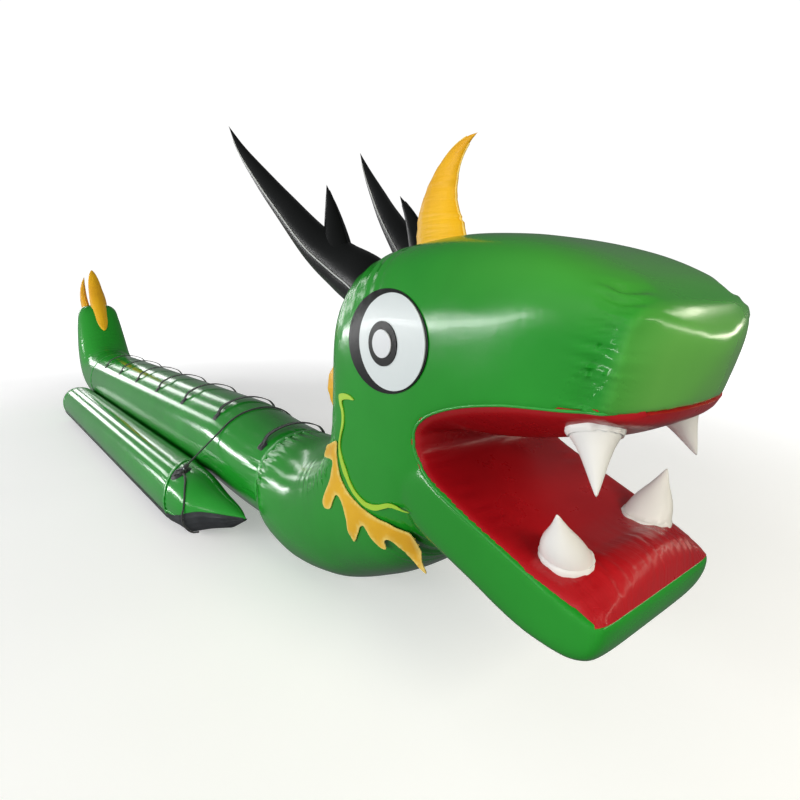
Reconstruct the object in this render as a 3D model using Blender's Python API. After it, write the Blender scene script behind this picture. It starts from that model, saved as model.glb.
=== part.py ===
"""Dragon-headed inflatable banana boat, as an assembly of separate named pieces.

Metres. +X points to the bow, +Y to port and +Z up. The boat stands on its two
outriggers, with the floor at z = 0 and the middle of its length at x = 0.
"""
import math

import bmesh
import bpy
from mathutils import Vector

for old in list(bpy.data.objects):
    bpy.data.objects.remove(old, do_unlink=True)

# Driving dimensions
FIT = 0.0003
SIDES = (("stb", -1.0), ("port", 1.0))

TUBE_R = 0.290
OUTRIGGER_R = 0.176
SADDLE_ANGLE = math.radians(30.0)
TUBE_SIDES = 24
HALF_FACET = math.cos(math.pi / TUBE_SIDES)

STRAKE_T = 0.010

TAIL_SEAM_X = -2.62
NECK_SEAM_X = 1.74

# The outriggers lie in the floor's plane and the seat tube rests in the valley between them.
OUTRIGGER_Z = (OUTRIGGER_R + STRAKE_T) * HALF_FACET
CENTRE_DISTANCE = TUBE_R + OUTRIGGER_R * HALF_FACET + FIT
OUTRIGGER_Y = CENTRE_DISTANCE * math.cos(SADDLE_ANGLE)
TUBE_Z = OUTRIGGER_Z + CENTRE_DISTANCE * math.sin(SADDLE_ANGLE)

SKIN_T = 0.004
LINING_T = 0.008

# Colours, linear
GREEN = (0.030, 0.290, 0.045)
RED = (0.380, 0.012, 0.020)
BLACK = (0.012, 0.014, 0.014)
WHITE = (0.870, 0.870, 0.850)
GREY = (0.560, 0.570, 0.580)
YELLOW = (0.900, 0.480, 0.015)
LIME = (0.520, 0.740, 0.080)
STEEL = (0.600, 0.610, 0.620)


def material(name, colour, roughness, metallic=0.0):
    """One Principled material."""
    made = bpy.data.materials.get(name)
    if made is None:
        made = bpy.data.materials.new(name)
        made.use_nodes = True
        shader = made.node_tree.nodes["Principled BSDF"]
        shader.inputs["Base Color"].default_value = (*colour, 1.0)
        shader.inputs["Roughness"].default_value = roughness
        shader.inputs["Metallic"].default_value = metallic
    return made


def finish(name, bm, mat):
    """Turn a bmesh into a named object with outward faces and one material."""
    bmesh.ops.recalc_face_normals(bm, faces=bm.faces)
    mesh = bpy.data.meshes.new(name)
    bm.to_mesh(mesh)
    bm.free()
    mesh.materials.append(mat)
    mesh.shade_smooth()
    mesh.set_sharp_from_angle(angle=math.radians(35.0))
    obj = bpy.data.objects.new(name, mesh)
    bpy.context.scene.collection.objects.link(obj)
    return obj


def loft_bmesh(rings, tip=None):
    """Skin closed rings of equal count, capped at both ends, or drawn to a tip point at the far end."""
    bm = bmesh.new()
    rows = [[bm.verts.new(p) for p in ring] for ring in rings]
    count = len(rows[0])
    for low, high in zip(rows, rows[1:]):
        for i in range(count):
            j = (i + 1) % count
            bm.faces.new((low[i], low[j], high[j]))
            bm.faces.new((low[i], high[j], high[i]))
    bm.faces.new(rows[0])
    if tip is None:
        bm.faces.new(rows[-1])
    else:
        top = bm.verts.new(tip)
        for i in range(count):
            bm.faces.new((rows[-1][i], rows[-1][(i + 1) % count], top))
    return bm


def loft(name, rings, mat, tip=None):
    """A lofted object."""
    return finish(name, loft_bmesh(rings, tip), mat)


def superellipse(centre, across, up, half_across, half_up, power, count):
    """Ring of points round an ellipse, squared off where power is over 2."""
    ring = []
    for i in range(count):
        angle = 2.0 * math.pi * i / count
        c, s = math.cos(angle), math.sin(angle)
        u = math.copysign(abs(c) ** (2.0 / power), c) * half_across
        v = math.copysign(abs(s) ** (2.0 / power), s) * half_up
        ring.append(centre + across * u + up * v)
    return ring


def cut(obj, cutter, operation="DIFFERENCE"):
    """Leave an exact Boolean on the object, against a hidden cutter."""
    modifier = obj.modifiers.new(cutter.name, "BOOLEAN")
    modifier.operation = operation
    modifier.solver = "EXACT"
    modifier.object = cutter
    cutter.hide_render = True
    cutter.display_type = "WIRE"


def clip(bm, point, normal):
    """Cut away what lies on the normal's side of a plane and close the cut."""
    geometry = bm.verts[:] + bm.edges[:] + bm.faces[:]
    result = bmesh.ops.bisect_plane(bm, geom=geometry, plane_co=point, plane_no=normal, clear_outer=True)
    edges = [e for e in result["geom_cut"] if isinstance(e, bmesh.types.BMEdge)]
    bmesh.ops.holes_fill(bm, edges=edges)


def prism_bmesh(outline, low_y, high_y):
    """Extrude an outline in the XZ plane from low_y to high_y."""
    return loft_bmesh([[Vector((x, y, z)) for x, z in outline] for y in (low_y, high_y)])


MAT_GREEN = material("pvc_green", GREEN, 0.18)
MAT_RED = material("pvc_red", RED, 0.25)
MAT_BLACK = material("pvc_black", BLACK, 0.25)
MAT_WHITE = material("pvc_white", WHITE, 0.30)
MAT_PUPIL = material("pvc_grey", GREY, 0.30)
MAT_YELLOW = material("pvc_yellow", YELLOW, 0.35)
MAT_LIME = material("pvc_lime", LIME, 0.35)
MAT_RUBBER = material("rubber_black", BLACK, 0.60)
MAT_WEBBING = material("webbing_black", BLACK, 0.80)
MAT_ROPE = material("rope_black", BLACK, 0.75)
MAT_STEEL = material("ring_steel", STEEL, 0.25, 1.0)

X_AXIS = Vector((1.0, 0.0, 0.0))
Y_AXIS = Vector((0.0, 1.0, 0.0))
Z_AXIS = Vector((0.0, 0.0, 1.0))


def profile_rings(table, grow=0.0, count=TUBE_SIDES):
    """Rings of the body, each standing on the line from its belly point to its back point.

    A row is: back x, back z, belly x, belly z, half width, squareness, widening to the back.
    """
    rings = []
    for back_x, back_z, belly_x, belly_z, half_width, power, widening in table:
        back = Vector((back_x, 0.0, back_z))
        belly = Vector((belly_x, 0.0, belly_z))
        middle = (back + belly) / 2.0
        up = (back - belly).normalized()
        half_up = (back - belly).length / 2.0 + grow
        ring = superellipse(middle, Y_AXIS, up, half_width + grow, half_up, power, count)
        for point in ring:
            point.y *= 1.0 + widening * (point - middle).dot(up) / half_up
        rings.append(ring)
    return rings


TUBE_TOP = TUBE_Z + TUBE_R
TUBE_BOTTOM = TUBE_Z - TUBE_R

# Seat tube, which sinks a little to the neck's seam
# Columns: x, top z, bottom z, half width
SEAT_TABLE = (
    (TAIL_SEAM_X, TUBE_TOP, TUBE_BOTTOM, TUBE_R),
    (-1.200, TUBE_TOP, TUBE_BOTTOM, TUBE_R),
    (0.200, TUBE_TOP, TUBE_BOTTOM, TUBE_R),
    (0.960, TUBE_TOP, TUBE_BOTTOM, TUBE_R),
    (1.220, 0.686, 0.116, 0.290),
    (1.500, 0.656, 0.108, 0.286),
    (NECK_SEAM_X, 0.640, 0.108, 0.282),
)

# Head and neck, as pairs of points on its back and its belly
# Columns: back x, back z, belly x, belly z, half width, squareness, widening
HEAD_TABLE = (
    (1.740, 0.640, 1.740, 0.108, 0.282, 2.0, 0.0),
    (1.860, 0.640, 1.850, 0.055, 0.318, 2.0, 0.0),
    (2.040, 0.646, 2.060, 0.030, 0.332, 2.0, 0.0),
    (2.240, 0.700, 2.330, 0.075, 0.336, 2.1, 0.0),
    (2.400, 0.830, 2.620, 0.200, 0.337, 2.3, 0.0),
    (2.475, 1.000, 2.850, 0.340, 0.340, 2.6, 0.0),
    (2.492, 1.170, 3.000, 0.470, 0.344, 3.0, 0.0),
    (2.530, 1.330, 3.090, 0.555, 0.347, 3.2, 0.0),
    (2.670, 1.462, 3.140, 0.700, 0.350, 3.4, 0.0),
    (2.860, 1.524, 3.250, 0.840, 0.350, 3.6, 0.0),
    (3.080, 1.542, 3.380, 0.860, 0.350, 3.8, 0.0),
    (3.300, 1.524, 3.480, 0.870, 0.345, 4.2, 0.02),
    (3.500, 1.474, 3.550, 0.870, 0.334, 4.6, 0.06),
    (3.650, 1.402, 3.595, 0.870, 0.318, 5.2, 0.10),
    (3.724, 1.340, 3.602, 0.870, 0.305, 5.5, 0.12),
)
HEAD_COUNT = 32
BOW_X = 3.770
NOSE_TIP = Vector((BOW_X, 0.0, 1.220))

# Mouth, as an open wedge seen from the side
MOUTH_CORNER = (3.062, 0.925)
UPPER_LIP = ((3.092, 0.985), (3.170, 1.025), (3.300, 1.062), (3.440, 1.082), (3.900, 1.106))
LOWER_LIP = ((3.076, 0.868), (3.120, 0.826), (3.270, 0.760), (3.440, 0.692), (3.900, 0.508))
JAW_PLANE_X = 3.062
HEAD_PLANE_Z = 0.925

# Lower jaw, as rounded blocks
# Columns: x, top z, bottom z, half width, squareness
JAW_TABLE = (
    (JAW_PLANE_X + FIT, 0.924, 0.552, 0.345, 3.2),
    (3.150, 0.900, 0.548, 0.347, 4.0),
    (3.270, 0.850, 0.522, 0.346, 4.6),
    (3.390, 0.790, 0.484, 0.343, 5.0),
    (3.500, 0.750, 0.457, 0.336, 5.4),
    (3.590, 0.720, 0.450, 0.326, 5.6),
    (3.645, 0.700, 0.466, 0.315, 5.6),
    (3.675, 0.685, 0.508, 0.303, 5.2),
)


def head_bmesh(grow=0.0):
    """The whole head and neck with its mouth shut."""
    rings = profile_rings(HEAD_TABLE, grow, HEAD_COUNT)
    return loft_bmesh(rings, NOSE_TIP + X_AXIS * grow)


def head_shell(name, grow):
    """The head and neck grown by a small distance, as a cutter for what lies on it."""
    shell = finish(name, head_bmesh(grow), MAT_GREEN)
    shell.hide_render = True
    shell.display_type = "WIRE"
    return shell


def clipped_head(name, planes):
    """The part of the head that lies behind every one of the planes."""
    bm = head_bmesh()
    for point, normal in planes:
        clip(bm, Vector(point), Vector(normal))
    return finish(name, bm, MAT_GREEN)


def build_head():
    """Neck, head and lower jaw, parted by planes at the mouth's corner, and the open mouth."""
    outline = (MOUTH_CORNER,) + UPPER_LIP + tuple(reversed(LOWER_LIP))
    mouth = finish("cut_mouth", prism_bmesh(outline, -0.6, 0.6), MAT_RED)
    seam_plane = ((NECK_SEAM_X + FIT, 0, 0), (-1, 0, 0))
    neck = clipped_head("neck", (
        seam_plane,
        ((0, 0, HEAD_PLANE_Z), (0, 0, 1)),
        ((JAW_PLANE_X, 0, 0), (1, 0, 0)),
    ))
    head = clipped_head("head", (((0, 0, HEAD_PLANE_Z + FIT), (0, 0, -1)),))
    rings = []
    for x, top, bottom, half_width, power in JAW_TABLE:
        middle = Vector((x, 0.0, (top + bottom) / 2.0))
        half_height = (top - bottom) / 2.0
        rings.append(superellipse(middle, Y_AXIS, Z_AXIS, half_width, half_height, power, HEAD_COUNT))
    jaw = loft("lower_jaw", rings, MAT_GREEN)
    cut(head, mouth)
    cut(jaw, mouth)
    return neck, head, jaw


# Red lining, from the throat to the front, offset from the mouth's own outline
# Columns: x, z, half width, how far it is blown out in the middle
PALATE = (
    (3.105, 0.9917, 0.322, 0.078),
    (3.170, 1.025, 0.325, 0.105),
    (3.300, 1.062, 0.325, 0.122),
    (3.440, 1.082, 0.318, 0.110),
    (3.560, 1.0874, 0.302, 0.084),
    (3.650, 1.0915, 0.285, 0.040),
)
JAW_FLOOR = (
    (3.110, 0.8357, 0.322, 0.0),
    (3.120, 0.826, 0.322, 0.0),
    (3.270, 0.760, 0.322, 0.0),
    (3.440, 0.692, 0.318, 0.004),
    (3.540, 0.652, 0.306, 0.024),
    (3.615, 0.622, 0.297, 0.066),
    (3.664, 0.6024, 0.290, 0.012),
)
THROAT = (
    (3.1075, 0.8379, 0.322, 0.0),
    (3.076, 0.868, 0.322, 0.0),
    (3.062, 0.925, 0.322, 0.0),
    (3.092, 0.985, 0.322, 0.0),
    (3.102, 0.9901, 0.322, 0.0),
)
# Name: rows, side of the line it lies on, power of the bulge across it
LININGS = {
    "palate_lining": (PALATE, -1.0, 2.0),
    "jaw_lining": (JAW_FLOOR, 1.0, 3.0),
    "throat_lining": (THROAT, -1.0, 2.0),
}
LINING_STEPS = 10


def lining(name, node, grow=0.0):
    """A red sheet along its line in the XZ plane, blown out into the mouth towards its middle."""
    rows, into, power = LININGS[node]
    rings = []
    for i, (x, z, half, bulge) in enumerate(rows):
        before = Vector(rows[max(i - 1, 0)][:2])
        after = Vector(rows[min(i + 1, len(rows) - 1)][:2])
        run = (after - before).normalized()
        normal = Vector((-run.y, 0.0, run.x)) * into
        near = Vector((x, 0.0, z)) + normal * FIT
        ring = [near - Y_AXIS * half, near + Y_AXIS * half]
        for step in range(LINING_STEPS + 1):
            share = 1.0 - 2.0 * step / LINING_STEPS
            depth = LINING_T + grow + bulge * (1.0 - abs(share) ** power)
            ring.append(near + normal * depth + Y_AXIS * half * share)
        rings.append(ring)
    return loft(name, rings, MAT_RED)


def build_lining():
    """The red lining on the palate, in the throat and on the lower jaw."""
    for node in LININGS:
        lining(node, node)


# Teeth, on the port side and mirrored to starboard
# Columns: name, base x, base y, lining it stands on, base radius, point x, point y, point z
TEETH = (
    ("tooth_upper", 3.575, 0.218, "palate_lining", 0.084, 3.628, 0.270, 0.890),
    ("tooth_lower", 3.518, 0.205, "jaw_lining", 0.073, 3.540, 0.275, 0.832),
)
TOOTH_RINGS = ((1.00, 0.00), (0.96, 0.09), (0.72, 0.17), (0.50, 0.42), (0.26, 0.75))
TOOTH_SIDES = 16
TOOTH_SINK = 0.007


def lining_point(node, x, y):
    """Point of a lining's face at x and y, with its directions across and into the mouth."""
    rows, into, power = LININGS[node]
    for low, high in zip(rows, rows[1:]):
        if low[0] <= x <= high[0]:
            share = (x - low[0]) / (high[0] - low[0])
            z, half, bulge = (a + (b - a) * share for a, b in zip(low[1:], high[1:]))
            run = Vector((high[0] - low[0], 0.0, high[1] - low[1])).normalized()
    up = Vector((-run.z, 0.0, run.x)) * into
    place = abs(y) / half
    depth = FIT + LINING_T + bulge * (1.0 - place ** power)
    slope = math.copysign(bulge * power * place ** (power - 1.0) / half, y)
    across = (Y_AXIS - up * slope).normalized()
    return Vector((x, y, z)) + up * depth, run, across, run.cross(across) * -into


def build_teeth():
    """Four pointed teeth, each flared where it is welded to the lining."""
    shells = {node: lining(f"cut_{node}", node, FIT) for node in ("palate_lining", "jaw_lining")}
    for name, x, y, node, radius, tip_x, tip_y, tip_z in TEETH:
        for side_name, side in SIDES:
            seat, run, across, up = lining_point(node, x, side * y)
            base = seat - up * TOOTH_SINK
            tip = Vector((tip_x, side * tip_y, tip_z))
            rings = []
            for share, rise in TOOTH_RINGS:
                centre = base.lerp(tip, rise)
                rings.append(superellipse(centre, run, across, radius * share, radius * share, 2.0, TOOTH_SIDES))
            tooth = loft(f"{name}_{side_name}", rings, MAT_WHITE, tip)
            cut(tooth, shells[node])


# Eyes: ovals on the side of the head, seen from the side
# Columns: name, centre x, centre z, half width, half height, layer
EYE_LAYERS = (
    ("eye_black", 2.925, 1.215, 0.197, 0.163, 0, MAT_BLACK),
    ("eye_white", 2.953, 1.215, 0.160, 0.150, 1, MAT_WHITE),
    ("pupil_ring", 2.931, 1.209, 0.072, 0.070, 2, MAT_BLACK),
    ("pupil", 2.931, 1.209, 0.047, 0.044, 3, MAT_PUPIL),
)
EYE_SIDES = 32


def applique(name, outlines, side, layer, mat, shells):
    """A skin welded on the head: an outline pressed through, kept between two shells."""
    low, high = sorted((side * 0.12, side * 0.60))
    obj = finish(name, prism_bmesh(outlines, low, high), mat)
    cut(obj, shells[layer][1], "INTERSECT")
    cut(obj, shells[layer][0])
    return obj


def oval(x, z, half_x, half_z, count=EYE_SIDES):
    """Points of an oval in the XZ plane."""
    points = []
    for i in range(count):
        angle = 2.0 * math.pi * i / count
        points.append((x + half_x * math.cos(angle), z + half_z * math.sin(angle)))
    return points


def build_eyes(shells):
    """Both eyes, as four skins laid one on the other."""
    for side_name, side in SIDES:
        for name, x, z, half_x, half_z, layer, mat in EYE_LAYERS:
            applique(f"{name}_{side_name}", oval(x, z, half_x, half_z), side, layer, mat, shells)


# Flame collar and its light trim, on both sides of the neck, points of x and z
COLLAR = (
    (2.630, 0.830), (2.566, 0.807), (2.500, 0.775), (2.470, 0.730), (2.524, 0.738), (2.590, 0.748),
    (2.584, 0.707), (2.568, 0.663), (2.535, 0.613), (2.512, 0.565), (2.530, 0.542), (2.567, 0.550),
    (2.592, 0.591), (2.616, 0.620), (2.642, 0.614), (2.665, 0.585), (2.677, 0.537), (2.680, 0.500),
    (2.694, 0.470), (2.710, 0.463), (2.743, 0.509), (2.761, 0.539), (2.786, 0.553), (2.801, 0.540),
    (2.812, 0.505), (2.829, 0.484), (2.849, 0.467), (2.861, 0.503), (2.875, 0.518), (2.900, 0.524),
    (2.908, 0.503), (2.899, 0.455), (2.890, 0.400), (2.930, 0.440), (2.955, 0.490), (2.991, 0.540),
    (3.006, 0.582), (2.976, 0.586), (2.933, 0.592), (2.883, 0.596), (2.830, 0.604), (2.775, 0.620),
    (2.717, 0.645), (2.670, 0.675), (2.640, 0.720), (2.625, 0.775),
)
TRIM = (
    (2.659, 1.012), (2.715, 1.019), (2.754, 1.004), (2.714, 1.001), (2.679, 0.989), (2.688, 0.950),
    (2.686, 0.902), (2.664, 0.853), (2.656, 0.813), (2.672, 0.776), (2.696, 0.744), (2.714, 0.712),
    (2.744, 0.684), (2.779, 0.666), (2.822, 0.658), (2.875, 0.669), (2.927, 0.688), (2.965, 0.693),
    (3.001, 0.688), (3.048, 0.688), (2.990, 0.674), (2.947, 0.668), (2.904, 0.646), (2.858, 0.625),
    (2.805, 0.622), (2.758, 0.637), (2.715, 0.662), (2.682, 0.695), (2.655, 0.735), (2.638, 0.785),
    (2.643, 0.836), (2.664, 0.898), (2.667, 0.947), (2.656, 0.985),
)


def build_collar(shells):
    """The yellow flame collar and the lime trim in front of it."""
    for side_name, side in SIDES:
        applique(f"collar_{side_name}", COLLAR, side, 0, MAT_YELLOW, shells)
        applique(f"collar_trim_{side_name}", TRIM, side, 0, MAT_LIME, shells)


# Horns: rings along a curve, each a little smaller, from the skull to the point
# Columns: x, y, z, half width in the curve's plane, half width across it
HORN = (
    (2.710, 0.165, 1.290, 0.128, 0.085),
    (2.630, 0.185, 1.387, 0.112, 0.078),
    (2.500, 0.205, 1.457, 0.098, 0.066),
    (2.345, 0.238, 1.555, 0.080, 0.056),
    (2.160, 0.272, 1.715, 0.058, 0.044),
    (2.030, 0.303, 1.840, 0.042, 0.032),
    (1.905, 0.332, 1.970, 0.022, 0.018),
)
HORN_TIP = (1.815, 0.350, 2.090)
SPIKE = (
    (2.470, 0.215, 1.480, 0.074, 0.052),
    (2.455, 0.214, 1.560, 0.062, 0.044),
    (2.405, 0.202, 1.680, 0.032, 0.024),
)
SPIKE_TIP = (2.346, 0.185, 1.785)
CREST = (
    (2.816, 0.0, 1.430, 0.124, 0.062),
    (2.809, 0.0, 1.530, 0.118, 0.058),
    (2.796, 0.0, 1.620, 0.102, 0.050),
    (2.806, 0.0, 1.700, 0.074, 0.040),
    (2.838, 0.0, 1.772, 0.050, 0.028),
    (2.880, 0.0, 1.824, 0.030, 0.016),
    (2.930, 0.0, 1.858, 0.012, 0.008),
)
CREST_TIP = (2.972, 0.0, 1.872)
HORN_SIDES = 14


def horn_bmesh(table, tip, side, grow=0.0):
    """A curved cone through a table of rings, on the port side or mirrored to starboard."""
    centres = [Vector((x, side * y, z)) for x, y, z, _, _ in table]
    point = Vector((tip[0], side * tip[1], tip[2]))
    rings = []
    for i, (_, _, _, in_plane, across) in enumerate(table):
        before = centres[max(i - 1, 0)]
        after = centres[i + 1] if i + 1 < len(centres) else point
        run = (after - before).normalized()
        sideways = Y_AXIS - run * run.dot(Y_AXIS)
        sideways.normalize()
        in_curve = run.cross(sideways)
        half_widths = (in_plane + grow, across + grow)
        rings.append(superellipse(centres[i], in_curve, sideways, *half_widths, 2.0, HORN_SIDES))
    return loft_bmesh(rings, point)


def build_horns(shells):
    """Two long horns with a spike on each, and the crest between them."""
    for side_name, side in SIDES:
        horn = finish(f"horn_{side_name}", horn_bmesh(HORN, HORN_TIP, side), MAT_BLACK)
        cut(horn, shells[0][0])
        spike = finish(f"horn_spike_{side_name}", horn_bmesh(SPIKE, SPIKE_TIP, side), MAT_BLACK)
        seat = finish(f"cut_horn_{side_name}", horn_bmesh(HORN, HORN_TIP, side, FIT), MAT_BLACK)
        cut(spike, seat)
    crest = finish("crest", horn_bmesh(CREST, CREST_TIP, 1.0), MAT_YELLOW)
    cut(crest, shells[0][0])


# Fins: blown-up plates in the middle plane, sharp at their edge
# Columns: share of the outline, share of the half thickness
PLATE_RINGS = ((0.30, -1.0), (0.62, -0.84), (0.86, -0.50), (1.0, -0.07), (1.0, 0.07), (0.86, 0.50),
               (0.62, 0.84), (0.30, 1.0))


def padded_plate(name, outline, half_thickness, mat):
    """A plate in the XZ plane, thin at its edge and thick along its middle."""
    middle_x = sum(x for x, _ in outline) / len(outline)
    middle_z = sum(z for _, z in outline) / len(outline)
    rings = []
    middle = Vector((middle_x, 0.0, middle_z))
    for share, y in PLATE_RINGS:
        centre = middle + Y_AXIS * y * half_thickness
        rings.append([centre + (Vector((x, 0.0, z)) - middle) * share for x, z in outline])
    return loft(name, rings, mat)


MANE_FIN = (
    (2.520, 1.150), (2.330, 1.150), (2.180, 1.115), (2.100, 1.055), (2.027, 0.962), (2.037, 0.869),
    (2.116, 0.802), (2.240, 0.830), (2.400, 0.840), (2.520, 0.860),
)
TAIL_FIN = (
    (-3.142, 0.950), (-3.168, 1.030), (-3.212, 1.130), (-3.270, 1.245), (-3.336, 1.360),
    (-3.424, 1.520), (-3.545, 1.685), (-3.562, 1.550), (-3.556, 1.420), (-3.530, 1.300),
    (-3.460, 1.150), (-3.280, 1.000),
)
# Flame points behind the fin, columns as in HORN
TAIL_FLAME = (
    (-3.560, 0.085, 1.120, 0.080, 0.046),
    (-3.600, 0.098, 1.220, 0.076, 0.044),
    (-3.652, 0.103, 1.320, 0.068, 0.040),
    (-3.700, 0.096, 1.420, 0.052, 0.033),
    (-3.738, 0.080, 1.520, 0.030, 0.020),
)
TAIL_FLAME_TIP = (-BOW_X, 0.053, 1.610)

# Tail, columns as in HEAD_TABLE: front and top point, back and bottom point
TAIL_TABLE = (
    (TAIL_SEAM_X, TUBE_TOP, TAIL_SEAM_X, TUBE_BOTTOM, 0.290, 2.0, 0.0),
    (-2.820, 0.710, -2.880, 0.130, 0.290, 2.0, 0.0),
    (-2.970, 0.740, -3.140, 0.165, 0.285, 2.0, 0.0),
    (-3.070, 0.820, -3.380, 0.280, 0.278, 2.1, 0.0),
    (-3.135, 0.930, -3.540, 0.470, 0.268, 2.2, 0.0),
    (-3.195, 1.040, -3.620, 0.720, 0.250, 2.3, 0.0),
    (-3.245, 1.130, -3.650, 0.960, 0.228, 2.4, 0.0),
    (-3.295, 1.206, -3.630, 1.145, 0.200, 2.4, 0.0),
    (-3.365, 1.250, -3.570, 1.225, 0.138, 2.2, 0.0),
)
TAIL_TIP = Vector((-3.460, 0.0, 1.258))


def build_tail():
    """The upswept tail, its pillowed fin and the two flame points behind it."""
    bm = loft_bmesh(profile_rings(TAIL_TABLE), TAIL_TIP)
    clip(bm, Vector((TAIL_SEAM_X - FIT, 0, 0)), X_AXIS)
    finish("tail", bm, MAT_GREEN)
    shell = finish("cut_tail", loft_bmesh(profile_rings(TAIL_TABLE, FIT), TAIL_TIP + Z_AXIS * FIT), MAT_GREEN)
    fin = padded_plate("tail_fin", TAIL_FIN, 0.082, MAT_YELLOW)
    cut(fin, shell)
    for side_name, side in SIDES:
        flame = finish(f"tail_flame_{side_name}", horn_bmesh(TAIL_FLAME, TAIL_FLAME_TIP, side), MAT_YELLOW)
        cut(flame, shell)
        grown = finish(f"cut_flame_{side_name}", horn_bmesh(TAIL_FLAME, TAIL_FLAME_TIP, side, FIT), MAT_YELLOW)
        cut(fin, grown)


def build_mane(shells):
    """The fin down the back of the neck."""
    fin = padded_plate("mane_fin", MANE_FIN, 0.040, MAT_YELLOW)
    cut(fin, shells[0][0])


def seat_section(x, grow=0.0):
    """Ring of the seat tube at x, read between the rows of its table."""
    for low, high in zip(SEAT_TABLE, SEAT_TABLE[1:]):
        if low[0] <= x <= high[0]:
            share = (x - low[0]) / (high[0] - low[0])
            top, bottom, half_width = (a + (b - a) * share for a, b in zip(low[1:], high[1:]))
    middle = Vector((x, 0.0, (top + bottom) / 2.0))
    half_height = (top - bottom) / 2.0
    return superellipse(middle, Y_AXIS, Z_AXIS, half_width + grow, half_height + grow, 2.0, TUBE_SIDES)


def build_seat_tube():
    """The long tube that the riders sit on."""
    loft("seat_tube", [seat_section(row[0]) for row in SEAT_TABLE], MAT_GREEN)


# Outriggers: rings along x from the stern to the nose, on the port side and mirrored to starboard
# Columns: x, y of the centre, z of the centre, half width, half height, slant forward of the outer side
OUTRIGGER = (
    (-2.840, OUTRIGGER_Y, OUTRIGGER_Z, 0.56 * OUTRIGGER_R, 0.56 * OUTRIGGER_R, 0.0),
    (-2.805, OUTRIGGER_Y, OUTRIGGER_Z, 0.79 * OUTRIGGER_R, 0.79 * OUTRIGGER_R, 0.0),
    (-2.720, OUTRIGGER_Y, OUTRIGGER_Z, 0.94 * OUTRIGGER_R, 0.94 * OUTRIGGER_R, 0.0),
    (-2.600, OUTRIGGER_Y, OUTRIGGER_Z, OUTRIGGER_R, OUTRIGGER_R, 0.0),
    (0.950, OUTRIGGER_Y, OUTRIGGER_Z, OUTRIGGER_R, OUTRIGGER_R, 1.0),
    (1.220, 0.398, 0.186, 0.148, 0.167, 0.6),
    (1.410, 0.380, 0.196, 0.104, 0.106, 0.3),
    (1.590, 0.352, 0.204, 0.056, 0.058, 0.1),
)
NOSE_END = (1.700, 0.324, 0.214)


def outrigger_rings(side, grow=0.0):
    """Rings of one outrigger with its drawn-in nose, facets level with the floor."""
    rings = []
    for x, y, z, half_y, half_z, slant in OUTRIGGER:
        ring = []
        for i in range(TUBE_SIDES):
            angle = 2.0 * math.pi * (i + 0.5) / TUBE_SIDES
            out = (half_y + grow) * math.cos(angle)
            ring.append(Vector((x + slant * out, side * (y + out), z + (half_z + grow) * math.sin(angle))))
        rings.append(ring)
    return rings


# Strake: where its band starts and ends on each ring, counted round the ring and on past its end
# Columns: ring, last place; the first place is the same on all of them
STRAKE_ROWS = ((3, 22.0), (4, 22.0), (5, 23.0), (6, 24.2), (7, 24.8))
STRAKE_FLAT = (16.0, 17.0, 18.0)
STRAKE_STEPS = 4
STRAKE_SINK = 0.012


def along_ring(ring, position):
    """Point of a ring between its own points."""
    low = int(math.floor(position))
    return ring[low % len(ring)].lerp(ring[(low + 1) % len(ring)], position - low)


def outrigger_shell(name, side, grow):
    """One outrigger grown by a small distance, as a cutter for what lies on it."""
    tip = Vector((NOSE_END[0] + grow, side * NOSE_END[1], NOSE_END[2]))
    return finish(name, loft_bmesh(outrigger_rings(side, grow), tip), MAT_GREEN)


def build_outriggers():
    """Both outriggers and the black strakes that they rest on."""
    for side_name, side in SIDES:
        tip = Vector((NOSE_END[0], side * NOSE_END[1], NOSE_END[2]))
        loft(f"outrigger_{side_name}", outrigger_rings(side), MAT_GREEN, tip)
        inner = outrigger_rings(side, -STRAKE_SINK)
        outer = outrigger_rings(side, STRAKE_T)
        rings = []
        for row, last in STRAKE_ROWS:
            span = last - STRAKE_FLAT[-1]
            steps = (STRAKE_FLAT[-1] + span * (i + 1) / STRAKE_STEPS for i in range(STRAKE_STEPS))
            places = STRAKE_FLAT + tuple(steps)
            rings.append([along_ring(outer[row], place) for place in places]
                         + [along_ring(inner[row], place) for place in reversed(places)])
        strake = loft(f"strake_{side_name}", rings, MAT_RUBBER)
        cut(strake, outrigger_shell(f"cut_float_{side_name}", side, FIT))


# Handles: a strap over the tube, standing off it between its two feet
HANDLE_LAST_X = 1.650
HANDLE_PITCH = 0.632
HANDLE_COUNT = 7
HANDLE_WIDTH = 0.038
HANDLE_T = 0.007
HANDLE_RISE = 0.020
# Columns: ring point of the tube, counted from port round the top, and how far the strap has risen there
HANDLE_ARC = (
    (3, 0.0), (3.4, 0.0), (3.7, 0.55), (4.1, 0.9), (5, 1.0), (6, 1.0),
    (7, 1.0), (7.9, 0.9), (8.3, 0.55), (8.6, 0.0), (9, 0.0),
)


def build_handles():
    """Seven grab straps in a row, one for each seat."""
    for index in range(HANDLE_COUNT):
        x = HANDLE_LAST_X - HANDLE_PITCH * (HANDLE_COUNT - 1 - index)
        rings = []
        for position, rise in HANDLE_ARC:
            low = FIT + HANDLE_RISE * rise
            aft, fore = x - HANDLE_WIDTH / 2.0, x + HANDLE_WIDTH / 2.0
            corners = ((aft, low), (fore, low), (fore, low + HANDLE_T), (aft, low + HANDLE_T))
            rings.append([along_ring(seat_section(place, grow), position) for place, grow in corners])
        loft(f"handle_{index + 1}", rings, MAT_WEBBING)


# Rigging: a patch with a ring on each outrigger, a lashing over the tube and a line down each nose
ROPE_R = 0.005
PATCH_R = 0.062
PATCH_T = 0.005
PATCH_SIDES = 28
# Place of the patch between the outrigger's rings and round them
PATCH_ROW = 4.37
PATCH_PLACE = 4.0
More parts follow.
